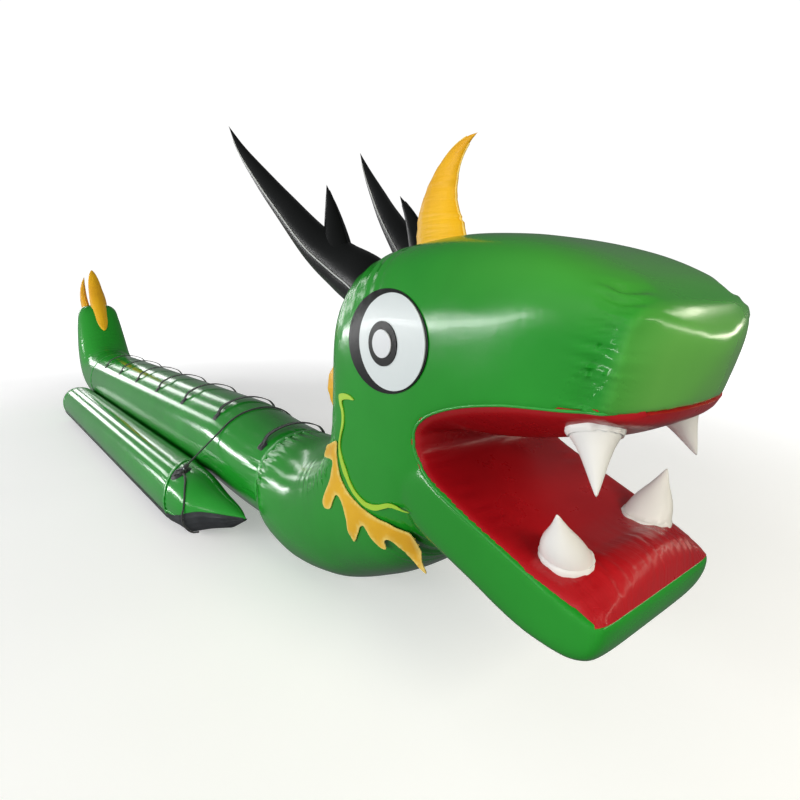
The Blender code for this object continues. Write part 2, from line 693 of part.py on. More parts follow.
# Columns: place on the tube's ring, x
LASHING_TOP = (
    (6.0, 1.234), (6.5, 1.232), (7.0, 1.228), (7.5, 1.221), (8.0, 1.214), (8.5, 1.207), (8.95, 1.200),
)
LASHING_STEPS = 14
END_GAP = 0.0016
# Nose line, on the port side and mirrored to starboard
# Columns: place between the outrigger's rings, place round the ring, how far the line's middle stands off
LINE_PATH = (
    (4.60, 4.38, 0.0111), (4.72, 4.30, 0.0100), (4.90, 3.80, 0.0074), (5.05, 3.10, 0.0060),
    (5.20, 2.20, 0.0060), (5.28, 1.30, 0.0062), (5.29, 0.50, 0.0070), (5.27, -0.10, 0.0140),
    (5.24, -0.80, 0.0180), (5.20, -1.70, 0.0180), (5.17, -2.80, 0.0180), (5.13, -4.00, 0.0180), (5.10, -5.10, 0.0170),
)
RING_R = 0.026
RING_WIRE_R = 0.003
RING_LIFT = PATCH_T + RING_WIRE_R + 2.5 * FIT
LINE_LIFT = PATCH_T + ROPE_R + 2.5 * FIT
RING_SIDES = (24, 8)


def cord(name, points, radius):
    """A round cord along the points."""
    curve = bpy.data.curves.new(name, "CURVE")
    curve.dimensions = "3D"
    curve.bevel_depth = radius
    curve.bevel_resolution = 2
    curve.use_fill_caps = True
    spline = curve.splines.new("POLY")
    spline.points.add(len(points) - 1)
    for target, point in zip(spline.points, points):
        target.co = (*point, 1.0)
    curve.materials.append(MAT_ROPE)
    obj = bpy.data.objects.new(name, curve)
    bpy.context.scene.collection.objects.link(obj)


def smooth_path(points, steps):
    """Points of a smooth curve through the given ones."""
    ends = [points[0] * 2.0 - points[1]] + list(points) + [points[-1] * 2.0 - points[-2]]
    path = []
    for a, b, c, d in zip(ends, ends[1:], ends[2:], ends[3:]):
        for step in range(steps):
            t = step / steps
            path.append(((b * 2.0) + (c - a) * t + (a * 2.0 - b * 5.0 + c * 4.0 - d) * t * t
                         + (b * 3.0 - a - c * 3.0 + d) * t * t * t) * 0.5)
    path.append(points[-1])
    return path


def float_point(side, row, place, lift):
    """Point of one outrigger between its rings, standing off its surface by the lift."""
    rings = outrigger_rings(side, lift)
    low = int(row)
    return along_ring(rings[low], place).lerp(along_ring(rings[low + 1], place), row - low)


def patch_frame(side):
    """Centre of one patch on its outrigger, and its directions forward, up to the tube and outward."""
    centre = float_point(side, PATCH_ROW, PATCH_PLACE, 0.0)
    forward = (float_point(side, PATCH_ROW + 0.1, PATCH_PLACE, 0.0) - centre).normalized()
    upward = (float_point(side, PATCH_ROW, PATCH_PLACE + 0.5, 0.0)
              - float_point(side, PATCH_ROW, PATCH_PLACE - 0.5, 0.0))
    outward = upward.cross(forward).normalized() * side
    return centre, forward, outward.cross(forward) * side * -1.0, outward


def build_lashing():
    """The line over the seat tube from one ring to the other."""
    half = [along_ring(seat_section(x, ROPE_R + 2.5 * FIT), place) for place, x in LASHING_TOP]
    centre, _, upward, outward = patch_frame(-1.0)
    wire = centre + outward * RING_LIFT + upward * RING_R
    end = wire + (half[-1] - wire).normalized() * (RING_WIRE_R + END_GAP)
    half += [half[-1].lerp(end, (i + 1) / LASHING_STEPS) for i in range(LASHING_STEPS)]
    other = [Vector((p.x, -p.y, p.z)) for p in reversed(half[1:])]
    cord("lashing", other + half, ROPE_R)


def build_patch(side_name, side):
    """A round patch welded over the shoulder of one outrigger."""
    centre, forward, upward, outward = patch_frame(side)
    rings = []
    for height in (-PATCH_R, PATCH_R):
        rings.append(superellipse(centre + outward * height, forward, upward, PATCH_R, PATCH_R, 2.0, PATCH_SIDES))
    patch = loft(f"patch_{side_name}", rings, MAT_RUBBER)
    cut(patch, outrigger_shell(f"cut_patch_{side_name}", side, FIT + PATCH_T), "INTERSECT")
    cut(patch, bpy.data.objects[f"cut_float_{side_name}"])


def nose_line_points(side):
    """Points of the line from the ring down over the nose."""
    centre, _, _, outward = patch_frame(side)
    hub = centre + outward * LINE_LIFT
    points = [float_point(side, row, place, lift) for row, place, lift in LINE_PATH]
    start = hub + (points[0] - hub).normalized() * (RING_R + RING_WIRE_R + END_GAP)
    return [start] + points


def build_ring(side_name, side):
    """A round wire ring lying on its patch."""
    centre, forward, upward, outward = patch_frame(side)
    hub = centre + outward * RING_LIFT
    count, wire_count = RING_SIDES
    bm = bmesh.new()
    rows = []
    for i in range(count):
        angle = 2.0 * math.pi * i / count
        spoke = forward * math.cos(angle) + upward * math.sin(angle)
        wire = superellipse(hub + spoke * RING_R, spoke, outward, RING_WIRE_R, RING_WIRE_R, 2.0, wire_count)
        rows.append([bm.verts.new(p) for p in wire])
    for i in range(count):
        low, high = rows[i], rows[(i + 1) % count]
        for k in range(wire_count):
            j = (k + 1) % wire_count
            bm.faces.new((low[k], low[j], high[j], high[k]))
    finish(f"ring_{side_name}", bm, MAT_STEEL)


# Inflation valves at the sterns, out of the photo's sight
# Columns: how far out, radius
VALVE_PROFILE = ((0.0, 0.034), (0.004, 0.034), (0.006, 0.024), (0.016, 0.022))
VALVE_SIDES = 20
TAIL_VALVE_Z = 0.620
TAIL_VALVE_X = -3.594


def valve_bmesh(seat, depth=0.0):
    """A stepped round valve facing aft from its seat."""
    rings = []
    for out, radius in VALVE_PROFILE:
        place = seat - X_AXIS * (out - (depth if out == 0.0 else 0.0))
        rings.append(superellipse(place, Y_AXIS, Z_AXIS, radius, radius, 2.0, VALVE_SIDES))
    return loft_bmesh(rings)


def build_rigging():
    """Patches, lashing, lines and valves."""
    build_lashing()
    for side_name, side in SIDES:
        build_patch(side_name, side)
        build_ring(side_name, side)
        cord(f"nose_line_{side_name}", smooth_path(nose_line_points(side), 2), ROPE_R)
        seat = Vector((OUTRIGGER[0][0] - FIT, side * OUTRIGGER_Y, OUTRIGGER_Z))
        finish(f"valve_{side_name}", valve_bmesh(seat), MAT_RUBBER)
    tail_valve = finish("valve_tail", valve_bmesh(Vector((TAIL_VALVE_X, 0.0, TAIL_VALVE_Z)), 0.05), MAT_RUBBER)
    cut(tail_valve, bpy.data.objects["cut_tail"])


def main():
    """Build every piece."""
    build_seat_tube()
    build_head()
    shells = []
    for layer in range(4):
        low = FIT + layer * SKIN_T
        high = low + SKIN_T - FIT
        shells.append((head_shell(f"cut_skin_{layer}_in", low), head_shell(f"cut_skin_{layer}_out", high)))
    build_lining()
    build_teeth()
    build_eyes(shells)
    build_collar(shells)
    build_horns(shells)
    build_mane(shells)
    build_tail()
    build_outriggers()
    build_handles()
    build_rigging()


main()
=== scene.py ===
"""Looks of the dragon-headed inflatable banana boat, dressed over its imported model.

Metres, in the model's own frame: +X to the bow, +Y to port, +Z up, floor at z = 0.
"""
import logging
import math
from dataclasses import dataclass
from enum import Enum

import bpy
import numpy as np
from mathutils import Matrix, Vector
from mathutils.bvhtree import BVHTree

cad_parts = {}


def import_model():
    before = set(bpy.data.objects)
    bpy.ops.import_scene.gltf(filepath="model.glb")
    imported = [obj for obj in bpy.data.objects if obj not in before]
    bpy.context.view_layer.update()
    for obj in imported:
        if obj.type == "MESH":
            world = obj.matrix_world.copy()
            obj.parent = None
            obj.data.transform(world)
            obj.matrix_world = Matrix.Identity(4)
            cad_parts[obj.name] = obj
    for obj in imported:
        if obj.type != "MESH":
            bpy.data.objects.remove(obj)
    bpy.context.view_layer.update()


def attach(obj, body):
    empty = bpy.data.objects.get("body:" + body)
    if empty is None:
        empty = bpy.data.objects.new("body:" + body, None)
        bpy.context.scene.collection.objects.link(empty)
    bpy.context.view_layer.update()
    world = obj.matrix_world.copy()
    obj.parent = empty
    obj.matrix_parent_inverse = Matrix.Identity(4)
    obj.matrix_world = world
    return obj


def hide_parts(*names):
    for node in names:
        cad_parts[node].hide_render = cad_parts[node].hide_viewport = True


LOG = logging.getLogger("banana_boat")

Colour = tuple[float, float, float]
Place = tuple[float, float, float]
Points = np.ndarray
Piece = bpy.types.Object
Socket = bpy.types.NodeSocket

SIDES = (("stb", -1.0), ("port", 1.0))
BODY = "root"
TO_STARBOARD = Vector((0.0, -1.0, 0.0))
# How near two points are merged, in metres
DOUBLE = 2.0e-5
# The model's floats are 24-sided; the middle of a side lies this share of their radius from the axis
HALF_FACET = math.cos(math.pi / 24.0)
# How far the rim of a welded patch reaches into the cloth below it, in metres
SUNK = -0.003


# Mesh tools

def deselect() -> None:
    """Deselect every object."""
    bpy.ops.object.select_all(action="DESELECT")


def activate(obj: Piece) -> None:
    """Make an object the only selected and the active one.

    Args:
        obj: the object to work on.
    """
    deselect()
    obj.select_set(True)
    bpy.context.view_layer.objects.active = obj


def apply_modifier(obj: Piece, kind: str, **settings: object) -> None:
    """Add one modifier with its settings and apply it.

    Args:
        obj: the mesh object.
        kind: Blender's name of the modifier type.
        **settings: the modifier's own values.
    """
    modifier = obj.modifiers.new(kind.lower(), kind)
    for key, value in settings.items():
        setattr(modifier, key, value)
    activate(obj)
    bpy.ops.object.modifier_apply(modifier=modifier.name)


def weld(obj: Piece, outward: bool = True) -> None:
    """Merge the doubles of a mesh and turn its faces outward.

    Args:
        obj: the mesh object.
        outward: whether the normals are recalculated, as on a closed shell.
    """
    activate(obj)
    bpy.ops.object.mode_set(mode="EDIT")
    bpy.ops.mesh.select_all(action="SELECT")
    bpy.ops.mesh.remove_doubles(threshold=DOUBLE)
    bpy.ops.mesh.dissolve_degenerate(threshold=DOUBLE)
    if outward:
        bpy.ops.mesh.select_all(action="SELECT")
        bpy.ops.mesh.normals_make_consistent(inside=False)
    bpy.ops.object.mode_set(mode="OBJECT")


def put(obj: Piece, places: Points) -> None:
    """Move a mesh's vertices to new places, one per vertex."""
    obj.data.vertices.foreach_set("co", np.ascontiguousarray(places, dtype=np.float32).reshape(-1))
    obj.data.update()


def skin(name: str, points: Points | list[Points], outward: bool = True) -> Piece:
    """Add a grid and lay it over rows of points.

    Args:
        name: the piece's name.
        points: rows of points, as x, y and z.
        outward: whether the result is a closed shell, whose normals are recalculated.

    Returns:
        The welded mesh object.
    """
    rows, columns = len(points), len(points[0])
    deselect()
    bpy.ops.mesh.primitive_grid_add(x_subdivisions=columns - 1, y_subdivisions=rows - 1, size=1.0)
    obj = bpy.context.object
    obj.name = obj.data.name = name
    put(obj, points)
    weld(obj, outward)
    return obj


def cut_out(name: str, outline: Points, y: float) -> Piece:
    """Cut a flat face to an outline in the XZ plane.

    Args:
        name: the object's name.
        outline: array of x and z.
        y: where the face stands.

    Returns:
        The mesh object, with its one face.
    """
    deselect()
    bpy.ops.mesh.primitive_circle_add(vertices=len(outline), radius=1.0, fill_type="NGON")
    obj = bpy.context.object
    obj.name = name
    put(obj, np.column_stack([outline[:, 0], np.full(len(outline), y), outline[:, 1]]))
    return obj


def block(name: str, outline: Points, low_y: float, high_y: float) -> Piece:
    """Fill an outline in the XZ plane and extrude it along Y.

    Args:
        name: the object's name.
        outline: array of x and z.
        low_y: where the block starts.
        high_y: where it ends.

    Returns:
        The closed mesh object.
    """
    obj = cut_out(name, outline, low_y)
    bpy.ops.object.mode_set(mode="EDIT")
    bpy.ops.mesh.select_all(action="SELECT")
    bpy.ops.mesh.extrude_region_move(TRANSFORM_OT_translate={"value": (0.0, high_y - low_y, 0.0)})
    bpy.ops.mesh.select_all(action="SELECT")
    bpy.ops.mesh.normals_make_consistent(inside=False)
    bpy.ops.object.mode_set(mode="OBJECT")
    return obj


def triples(items: bpy.types.bpy_prop_collection, key: str) -> Points:
    """Read three numbers from each item of a mesh.

    Args:
        items: the mesh's vertices, or their normals.
        key: the name of what is read.

    Returns:
        Array of x, y, z.
    """
    values = np.empty(len(items) * 3, dtype=np.float32)
    items.foreach_get(key, values)
    return values.reshape(-1, 3).astype(float)


def vertices(obj: Piece) -> Points:
    """The places of a mesh's vertices."""
    return triples(obj.data.vertices, "co")


def vertex_normals(obj: Piece) -> Points:
    """The normals of a mesh's vertices."""
    return triples(obj.data.vertex_normals, "vector")


def push(obj: Piece, depth: np.ndarray) -> None:
    """Move each vertex along its normal.

    Args:
        obj: the mesh object.
        depth: how far each vertex moves outward.
    """
    put(obj, vertices(obj) + vertex_normals(obj) * depth[:, None])


def mark(obj: Piece, name: str, values: np.ndarray) -> None:
    """Store one number per vertex, for the material to read.

    Args:
        obj: the mesh object.
        name: the attribute's name.
        values: the numbers, one per vertex.
    """
    attribute = obj.data.attributes.new(name, "FLOAT", "POINT")
    attribute.data.foreach_set("value", np.clip(values, 0.0, 1.0).astype(np.float32))


def rays(obj: Piece) -> BVHTree:
    """A piece's faces, ready for rays to be cast at them."""
    return BVHTree.FromObject(obj, bpy.context.evaluated_depsgraph_get())


# Curves and sections

def monotone(stations: np.ndarray, values: Points, at: np.ndarray) -> Points:
    """Smooth values through stations, with no overshoot between them.

    Args:
        stations: rising numbers, one per row of values.
        values: rows of values.
        at: the stations to read.

    Returns:
        One row of values for each station read.
    """
    steps = np.diff(stations)[:, None]
    slopes = np.diff(values, axis=0) / steps
    before, after = slopes[:-1], slopes[1:]
    near = 2.0 * steps[1:] + steps[:-1]
    far = steps[1:] + 2.0 * steps[:-1]
    rising = before * after > 0.0
    safe_before = np.where(rising, before, 1.0)
    safe_after = np.where(rising, after, 1.0)
    middle = np.where(rising, (near + far) / (near / safe_before + far / safe_after), 0.0)
    tangents = np.vstack([slopes[:1], middle, slopes[-1:]])
    index = np.clip(np.searchsorted(stations, at, side="right") - 1, 0, len(steps) - 1)
    span = steps[index]
    t = (at - stations[index])[:, None] / span
    start, end = values[index], values[index + 1]
    leave, arrive = tangents[index] * span, tangents[index + 1] * span
    return (start * (2 * t**3 - 3 * t**2 + 1) + leave * (t**3 - 2 * t**2 + t)
            + end * (3 * t**2 - 2 * t**3) + arrive * (t**3 - t**2))


def refine(table: Points, spacing: float, columns: slice = slice(0, 4)) -> Points:
    """Put evenly spaced rows between the rows of a table.

    Args:
        table: the listed rows.
        spacing: the distance between new rows, in metres.
        columns: which columns are places, for measuring that distance.

    Returns:
        The finer table.
    """
    places = table[:, columns]
    steps = np.linalg.norm(np.diff(places, axis=0), axis=1) / math.sqrt(places.shape[1] / 2.0)
    stations = np.concatenate([[0.0], np.cumsum(np.maximum(steps, 1.0e-4))])
    count = max(int(stations[-1] / spacing), len(table))
    return monotone(stations, table, np.linspace(0.0, stations[-1], count + 1))


def unit(vectors: Points) -> Points:
    """The same directions at length 1."""
    return vectors / np.maximum(np.linalg.norm(vectors, axis=-1, keepdims=True), 1.0e-9)


def travel(points: Points) -> np.ndarray:
    """How far along a path each of its points lies."""
    return np.concatenate([[0.0], np.cumsum(np.linalg.norm(np.diff(points, axis=0), axis=1))])


def full_turn(count: int) -> np.ndarray:
    """Angles once round, with the first one repeated as the last."""
    return np.linspace(0.0, math.tau, count)


def spans(a: Points, b: Points, c: Points, d: Points, per_span: int) -> Points:
    """Smooth curves from each b to its c.

    Args:
        a: the points before b.
        b: where the spans start.
        c: where they end.
        d: the points after c.
        per_span: how many points lie on each span.

    Returns:
        The points of all spans in order, without the last end.
    """
    rows = [0.5 * (2.0 * b + (c - a) * t + (2.0 * a - 5.0 * b + 4.0 * c - d) * t**2
                   + (3.0 * b - a - 3.0 * c + d) * t**3) for t in np.arange(per_span) / per_span]
    return np.stack(rows, axis=1).reshape(-1, b.shape[1])


def closed_curve(outline: Points, per_span: int) -> Points:
    """A smooth closed curve through an outline's points, with so many points on each span."""
    before, after, later = (np.roll(outline, shift, axis=0) for shift in (1, -1, -2))
    return spans(before, outline, after, later, per_span)


def open_curve(points: Points, per_span: int) -> Points:
    """A smooth open curve through points and both ends, with so many points on each span."""
    padded = np.vstack([2.0 * points[0] - points[1], points, 2.0 * points[-1] - points[-2]])
    return np.vstack([spans(padded[:-3], padded[1:-2], padded[2:-1], padded[3:], per_span), points[-1:]])


def quarter_arc(half_across: float, half_up: float, power: float, count: int) -> Points:
    """Evenly spaced points of a quarter of a squared-off ellipse.

    Args:
        half_across: half width.
        half_up: half height.
        power: 2 for an ellipse, more for a squarer one.
        count: how many spans the quarter has.

    Returns:
        Points from the side to the top, as across and up.
    """
    angles = np.linspace(0.0, math.pi / 2.0, 97)
    across = half_across * np.cos(angles).clip(0.0) ** (2.0 / power)
    up = half_up * np.sin(angles).clip(0.0) ** (2.0 / power)
    length = np.concatenate([[0.0], np.cumsum(np.hypot(np.diff(across), np.diff(up)))])
    if length[-1] < 1.0e-6:
        return np.zeros((count + 1, 2))
    at = np.linspace(0.0, length[-1], count + 1)
    return np.column_stack([np.interp(at, length, across), np.interp(at, length, up)])


def section(half_across: float, half_up: float, power: float, count: int) -> Points:
    """A whole squared-off ellipse, from port over the top and round to port again.

    Args:
        half_across: half width.
        half_up: half height.
        power: 2 for an ellipse, more for a squarer one.
        count: how many spans the ring has, a multiple of four.

    Returns:
        Points as across and up, with the first repeated at the end.
    """
    first = quarter_arc(half_across, half_up, power, count // 4)
    second = first[::-1][1:] * (-1.0, 1.0)
    upper = np.vstack([first, second])
    lower = upper[::-1][1:] * (1.0, -1.0)
    return np.vstack([upper, lower])


def body_rings(table: Points, count: int) -> Points:
    """Rings of a body whose rows stand from a belly point to a back point.

    Args:
        table: rows of back x and z, belly x and z, half width, squareness, widening.
        count: how many spans each ring has.

    Returns:
        Array of rings, points and x, y, z.
    """
    rings = []
    for back_x, back_z, belly_x, belly_z, half_width, power, widening in table:
        up = np.array([back_x - belly_x, back_z - belly_z])
        height = max(np.linalg.norm(up), 1.0e-6)
        up /= height
        ring = section(half_width, height / 2.0, power, count)
        y = ring[:, 0] * (1.0 + widening * ring[:, 1] * 2.0 / height)
        x = (back_x + belly_x) / 2.0 + up[0] * ring[:, 1]
        z = (back_z + belly_z) / 2.0 + up[1] * ring[:, 1]
        rings.append(np.column_stack([x, y, z]))
    return np.array(rings)


def capped(rings: Points, last: bool = True) -> Points:
    """Close the ends of a stack of rings with smaller rings down to a point.

    Args:
        rings: array of rings, points and x, y, z.
        last: whether the last ring is closed as the first one is.

    Returns:
        The longer stack.
    """
    shares = (0.75, 0.45, 0.2, 0.0)
    middle = rings[0].mean(axis=0)
    parts = [np.array([middle + (rings[0] - middle) * s for s in reversed(shares)]), rings]
    if last:
        middle = rings[-1].mean(axis=0)
        parts.append(np.array([middle + (rings[-1] - middle) * s for s in shares]))
    return np.concatenate(parts)


def frames(path: Points) -> tuple[Points, Points]:
    """Directions along a path, and steady directions square to it.

    Args:
        path: the points in order.

    Returns:
        Unit tangents, and unit normals carried along without twist.
    """
    tangents = unit(np.gradient(path, axis=0))
    normals = [unit(np.cross(tangents[0], (0.31, 0.17, 0.93)))]
    for tangent in tangents[1:]:
        normals.append(unit(normals[-1] - tangent * np.dot(normals[-1], tangent)))
    return tangents, np.array(normals)


def hoop(centre: Points, radius: np.ndarray | float, angles: np.ndarray, first: Points, second: Points
         ) -> Points:
    """Points round a centre.

    Args:
        centre: the middle, or one middle for each point.
        radius: how far out the points lie.
        angles: where they lie, from the first direction to the second.
        first: a unit direction.
        second: a unit direction square to it.

    Returns:
        One point for each angle.
    """
    return centre + np.outer(radius * np.cos(angles), first) + np.outer(radius * np.sin(angles), second)


def sweep(path: Points, normals: Points, profile: Points) -> Points:
    """Carry a profile along a path.

    Args:
        path: the points in order.
        normals: the profile's up direction at each point.
        profile: points as sideways and up.

    Returns:
        Array of rows, profile points and x, y, z.
    """
    sideways = unit(np.cross(unit(np.gradient(path, axis=0)), normals))
    return (path[:, None] + sideways[:, None] * profile[None, :, :1]
            + normals[:, None] * profile[None, :, 1:])


def circle_profile(radius: float, count: int) -> Points:
    """A round profile for a rope or a wire, closed on itself."""
    angles = full_turn(count + 1)
    return np.column_stack([np.cos(angles), np.sin(angles)]) * radius


def tape_profile(width: float, thickness: float) -> Points:
    """A flat weld tape's profile, thin at both edges and closed underneath.

    Args:
        width: the tape's width.
        thickness: how far it stands off the cloth.

    Returns:
        Points as sideways and up.
    """
    half = width / 2.0
    return np.array([
        (-half, -0.002), (-half, thickness * 0.5), (-half * 0.82, thickness), (0.0, thickness * 1.15),
        (half * 0.82, thickness), (half, thickness * 0.5), (half, -0.002), (-half, -0.002),
    ])


@dataclass(frozen=True)
class Ripple:
    """A seeded sum of sines, which stands for the uneven folds of blown-up cloth."""

    wavelength: float
    seed: int
    terms: int = 6
    spread: float = 0.45

    def __call__(self, along: np.ndarray) -> np.ndarray:
        """How high the folds are.

        Args:
            along: distances along the cloth.

        Returns:
            Heights, about -1 to 1.
        """
        rng = np.random.default_rng(self.seed)
        total = np.zeros_like(along, dtype=float)
        for _ in range(self.terms):
            stretch = 1.0 + self.spread * (2.0 * rng.random() - 1.0)
            phase = math.tau * rng.random()
            total += np.sin(math.tau * along / (self.wavelength * stretch) + phase)
        return total / math.sqrt(self.terms * 2.0)


def bell(distance: np.ndarray, width: float) -> np.ndarray:
    """A soft bump, 1 at no distance and near 0 past twice the width."""
    return np.exp(-(distance / width) ** 2)


# Finishes

class Grain(Enum):
    """How fine folds lie in the cloth, as scales of a noise along x, y and z."""

    VARY_X = (55.0, 5.0, 5.0)
    VARY_Y = (5.0, 55.0, 5.0)
    VARY_Z = (5.0, 5.0, 48.0)
    ALONG_X = (3.0, 34.0, 34.0)

    @property
    def label(self) -> str:
        """The attribute that says where a mesh has these folds, from 0 to 1."""
        return f"folds_{self.name.lower()}"


# The attribute that says where a paler colour is laid: painted light on the nose's front panel and the head's
# top, and pale edges on the collar
PAINTED_LIGHT_AND_PALE_EDGES = "painted_light_and_pale_edges"


class Nodes:
    """A short way to lay out the nodes of one material or world."""

    def __init__(self, owner: bpy.types.Material | bpy.types.World, shader: str = "Principled BSDF") -> None:
        """Start with the shader and object coordinates.

        Args:
            owner: what the nodes belong to.
            shader: the name of its shader node.
        """
        owner.use_nodes = True
        self.owner = owner
        self.tree = owner.node_tree
        self.shader = self.tree.nodes[shader]
        self.place = self.tree.nodes.new("ShaderNodeTexCoord").outputs["Object"]

    def feed(self, slot: Socket, value: object) -> None:
        """Give an input socket what it takes.

        Args:
            slot: the input socket.
            value: another node's output socket, or a constant.
        """
        if isinstance(value, Socket):
            self.tree.links.new(value, slot)
        else:
            slot.default_value = value

    def fill(self, node: bpy.types.Node, **values: object) -> None:
        """Feed a node's input sockets, with spaces in their names written as underscores."""
        for key, value in values.items():
            self.feed(node.inputs[key.replace("_", " ")], value)

    def set(self, **values: object) -> None:
        """Feed the shader's input sockets, named as in fill."""
        self.fill(self.shader, **values)

    def new(self, kind: str, **values: object) -> bpy.types.Node:
        """Add a node.

        Args:
            kind: Blender's name of its type.
            **values: the node's own values in small letters, and its input sockets with capitals.

        Returns:
            The node.
        """
        node = self.tree.nodes.new(kind)
        for key, value in values.items():
            if key.islower():
                setattr(node, key, value)
            else:
                self.fill(node, **{key: value})
        return node

    def noise(self, scale: float, detail: float = 2.0, rough: float = 0.5,
              stretch: Place | None = None) -> Socket:
        """A noise on object coordinates.

        Args:
            scale: cells per metre.
            detail: how many finer layers it has.
            rough: how strong the finer layers are.
            stretch: scales along x, y and z, where the cells aren't even.

        Returns:
            The socket with the noise's height.
        """
        source = self.scaled(self.place, stretch) if stretch else self.place
        noise = self.new("ShaderNodeTexNoise", Scale=scale, Detail=detail, Roughness=rough, Vector=source)
        return noise.outputs["Fac"]

    def scaled(self, source: Socket, scale: Place) -> Socket:
        """Multiply coordinates by factors along x, y and z."""
        return self.new("ShaderNodeMapping", Vector=source, Scale=scale).outputs["Vector"]

    def math(self, operation: str, *values: Socket | float) -> Socket:
        """A sum, product or other result of sockets and numbers.

        Args:
            operation: Blender's name of the operation.
            *values: its sockets and numbers in order.

        Returns:
            The socket with the result.
        """
        node = self.new("ShaderNodeMath", operation=operation)
        for slot, value in zip(node.inputs, values):
            self.feed(slot, value)
        return node.outputs[0]

    def ramp(self, source: Socket, low: float, high: float, dark: Colour, light: Colour
             ) -> Socket:
        """Turn a height into a blend of two colours.

        Args:
            source: the height.
            low: where the first colour ends.
            high: where the second one starts.
            dark: the first colour.
            light: the second colour.

        Returns:
            The socket with the colour.
        """
        node = self.new("ShaderNodeValToRGB", Fac=source)
        for element, position, colour in zip(node.color_ramp.elements, (low, high), (dark, light)):
            element.position = position
            element.color = (*colour, 1.0)
        return node.outputs["Color"]

    def range(self, source: Socket, low: float, high: float,
              start: float = 0.3, end: float = 0.7) -> Socket:
        """Spread a height over a range.

        Args:
            source: the height.
            low: the result up to start.
            high: the result from end on.
            start: the height at which the range starts.
            end: the height at which it ends.

        Returns:
            The socket with the result.
        """
        node = self.new("ShaderNodeMapRange", Value=source, From_Min=start, From_Max=end, To_Min=low,
                        To_Max=high)
        return node.outputs["Result"]

    def attribute(self, name: str) -> Socket:
        """The number that a mesh stores under a name."""
        return self.new("ShaderNodeAttribute", attribute_name=name).outputs["Fac"]

    def bump(self, layers: list[tuple[Socket, float]]) -> None:
        """Chain heights into the shader's normal.

        Args:
            layers: each height with its depth in metres.
        """
        below = {}
        for height, depth in layers:
            node = self.new("ShaderNodeBump", Strength=1.0, Distance=depth, Height=height, **below)
            below = {"Normal": node.outputs["Normal"]}
        self.set(**below)


class Finish:
    """What a piece is made of: a material, and the record's slot that it stands for."""

    name: str
    slot: str
    grains: tuple[Grain, ...] = ()

    def material(self) -> bpy.types.Material:
        """Find the material, or make it where this is the first call.

        Returns:
            The material.
        """
        found = bpy.data.materials.get(self.name)
        if found:
            return found
        nodes = Nodes(bpy.data.materials.new(self.name))
        self.paint(nodes)
        return nodes.owner

    def paint(self, nodes: Nodes) -> None:
        """Lay out the material's nodes, in a way of each finish's own."""
        raise NotImplementedError


@dataclass(frozen=True)
class CoatedCloth(Finish):
    """PVC-coated cloth: a smooth glossy film over a faint weave."""

    name: str
    slot: str
    colour: Colour
    deep: Colour
    roughness: float = 0.16
    gloss_spread: float = 0.05
    coat: float = 0.15
    waviness: float = 0.0030
    crinkle: float = 0.00025
    weave: float = 0.000020
    fold_depth: float = 0.0045
    grains: tuple[Grain, ...] = ()
    specular: float = 0.5
    # A paler colour blended in where the mesh marks it: painted light on the head, pale cut edges on the
    # collar
    pale: Colour | None = None

    def paint(self, nodes: Nodes) -> None:
        """Lay out the material's nodes.

        Args:
            nodes: the new material's nodes.
        """
        colour = nodes.ramp(nodes.noise(1.7, 4.0, 0.55), 0.32, 0.68, self.deep, self.colour)
        # Blend towards the pale colour where the mesh marks it: painted light on the head, pale edges on the
        # collar
        if self.pale:
            colour = nodes.new("ShaderNodeMix", data_type="RGBA", Factor=nodes.attribute(PAINTED_LIGHT_AND_PALE_EDGES), A=colour,
                               B=(*self.pale, 1.0)).outputs["Result"]
        rough = nodes.range(nodes.noise(6.0, 5.0, 0.6), self.roughness - self.gloss_spread * 0.5,
                            self.roughness + self.gloss_spread)
        nodes.set(Base_Color=colour, Roughness=rough, Specular_IOR_Level=self.specular,
                  Coat_Weight=self.coat, Coat_Roughness=0.06)
        layers = [
            (nodes.noise(2.6, 1.0, 0.4), self.waviness),
            (nodes.noise(34.0, 3.0, 0.6), self.crinkle),
            (self.weave_height(nodes), self.weave),
        ]
        for grain in self.grains:
            streak = nodes.noise(1.0, 2.0, 0.5, grain.value)
            masked = nodes.math("MULTIPLY", streak, nodes.attribute(grain.label))
            layers.insert(0, (masked, self.fold_depth))
        nodes.bump(layers)

    def weave_height(self, nodes: Nodes) -> Socket:
        """The weave under the film, as two crossed sets of threads.

        Args:
            nodes: the material's nodes.

        Returns:
            The socket with the threads' height.
        """
        waves = [nodes.new("ShaderNodeTexWave", wave_type="BANDS", bands_direction=direction, Scale=140.0,
                           Vector=nodes.place) for direction in ("X", "Z")]
        return nodes.math("ADD", *(wave.outputs["Fac"] for wave in waves))


@dataclass(frozen=True)
class RubberFinish(Finish):
    """Matt black rubber with a fine mould grain and pale scuffs."""

    name: str = "moulded_rubber"
    slot: str = "rubber_black"

    def paint(self, nodes: Nodes) -> None:
        """Lay out the material's nodes.

        Args:
            nodes: the new material's nodes.
        """
        scuff = nodes.noise(9.0, 8.0, 0.7)
        colour = nodes.ramp(scuff, 0.45, 0.75, (0.016, 0.018, 0.020), (0.045, 0.050, 0.053))
        nodes.set(Base_Color=colour, Roughness=nodes.range(scuff, 0.38, 0.62), Specular_IOR_Level=0.45)
        nodes.bump([(nodes.noise(420.0, 2.0, 0.5), 0.00012), (nodes.noise(14.0, 3.0, 0.5), 0.0006)])


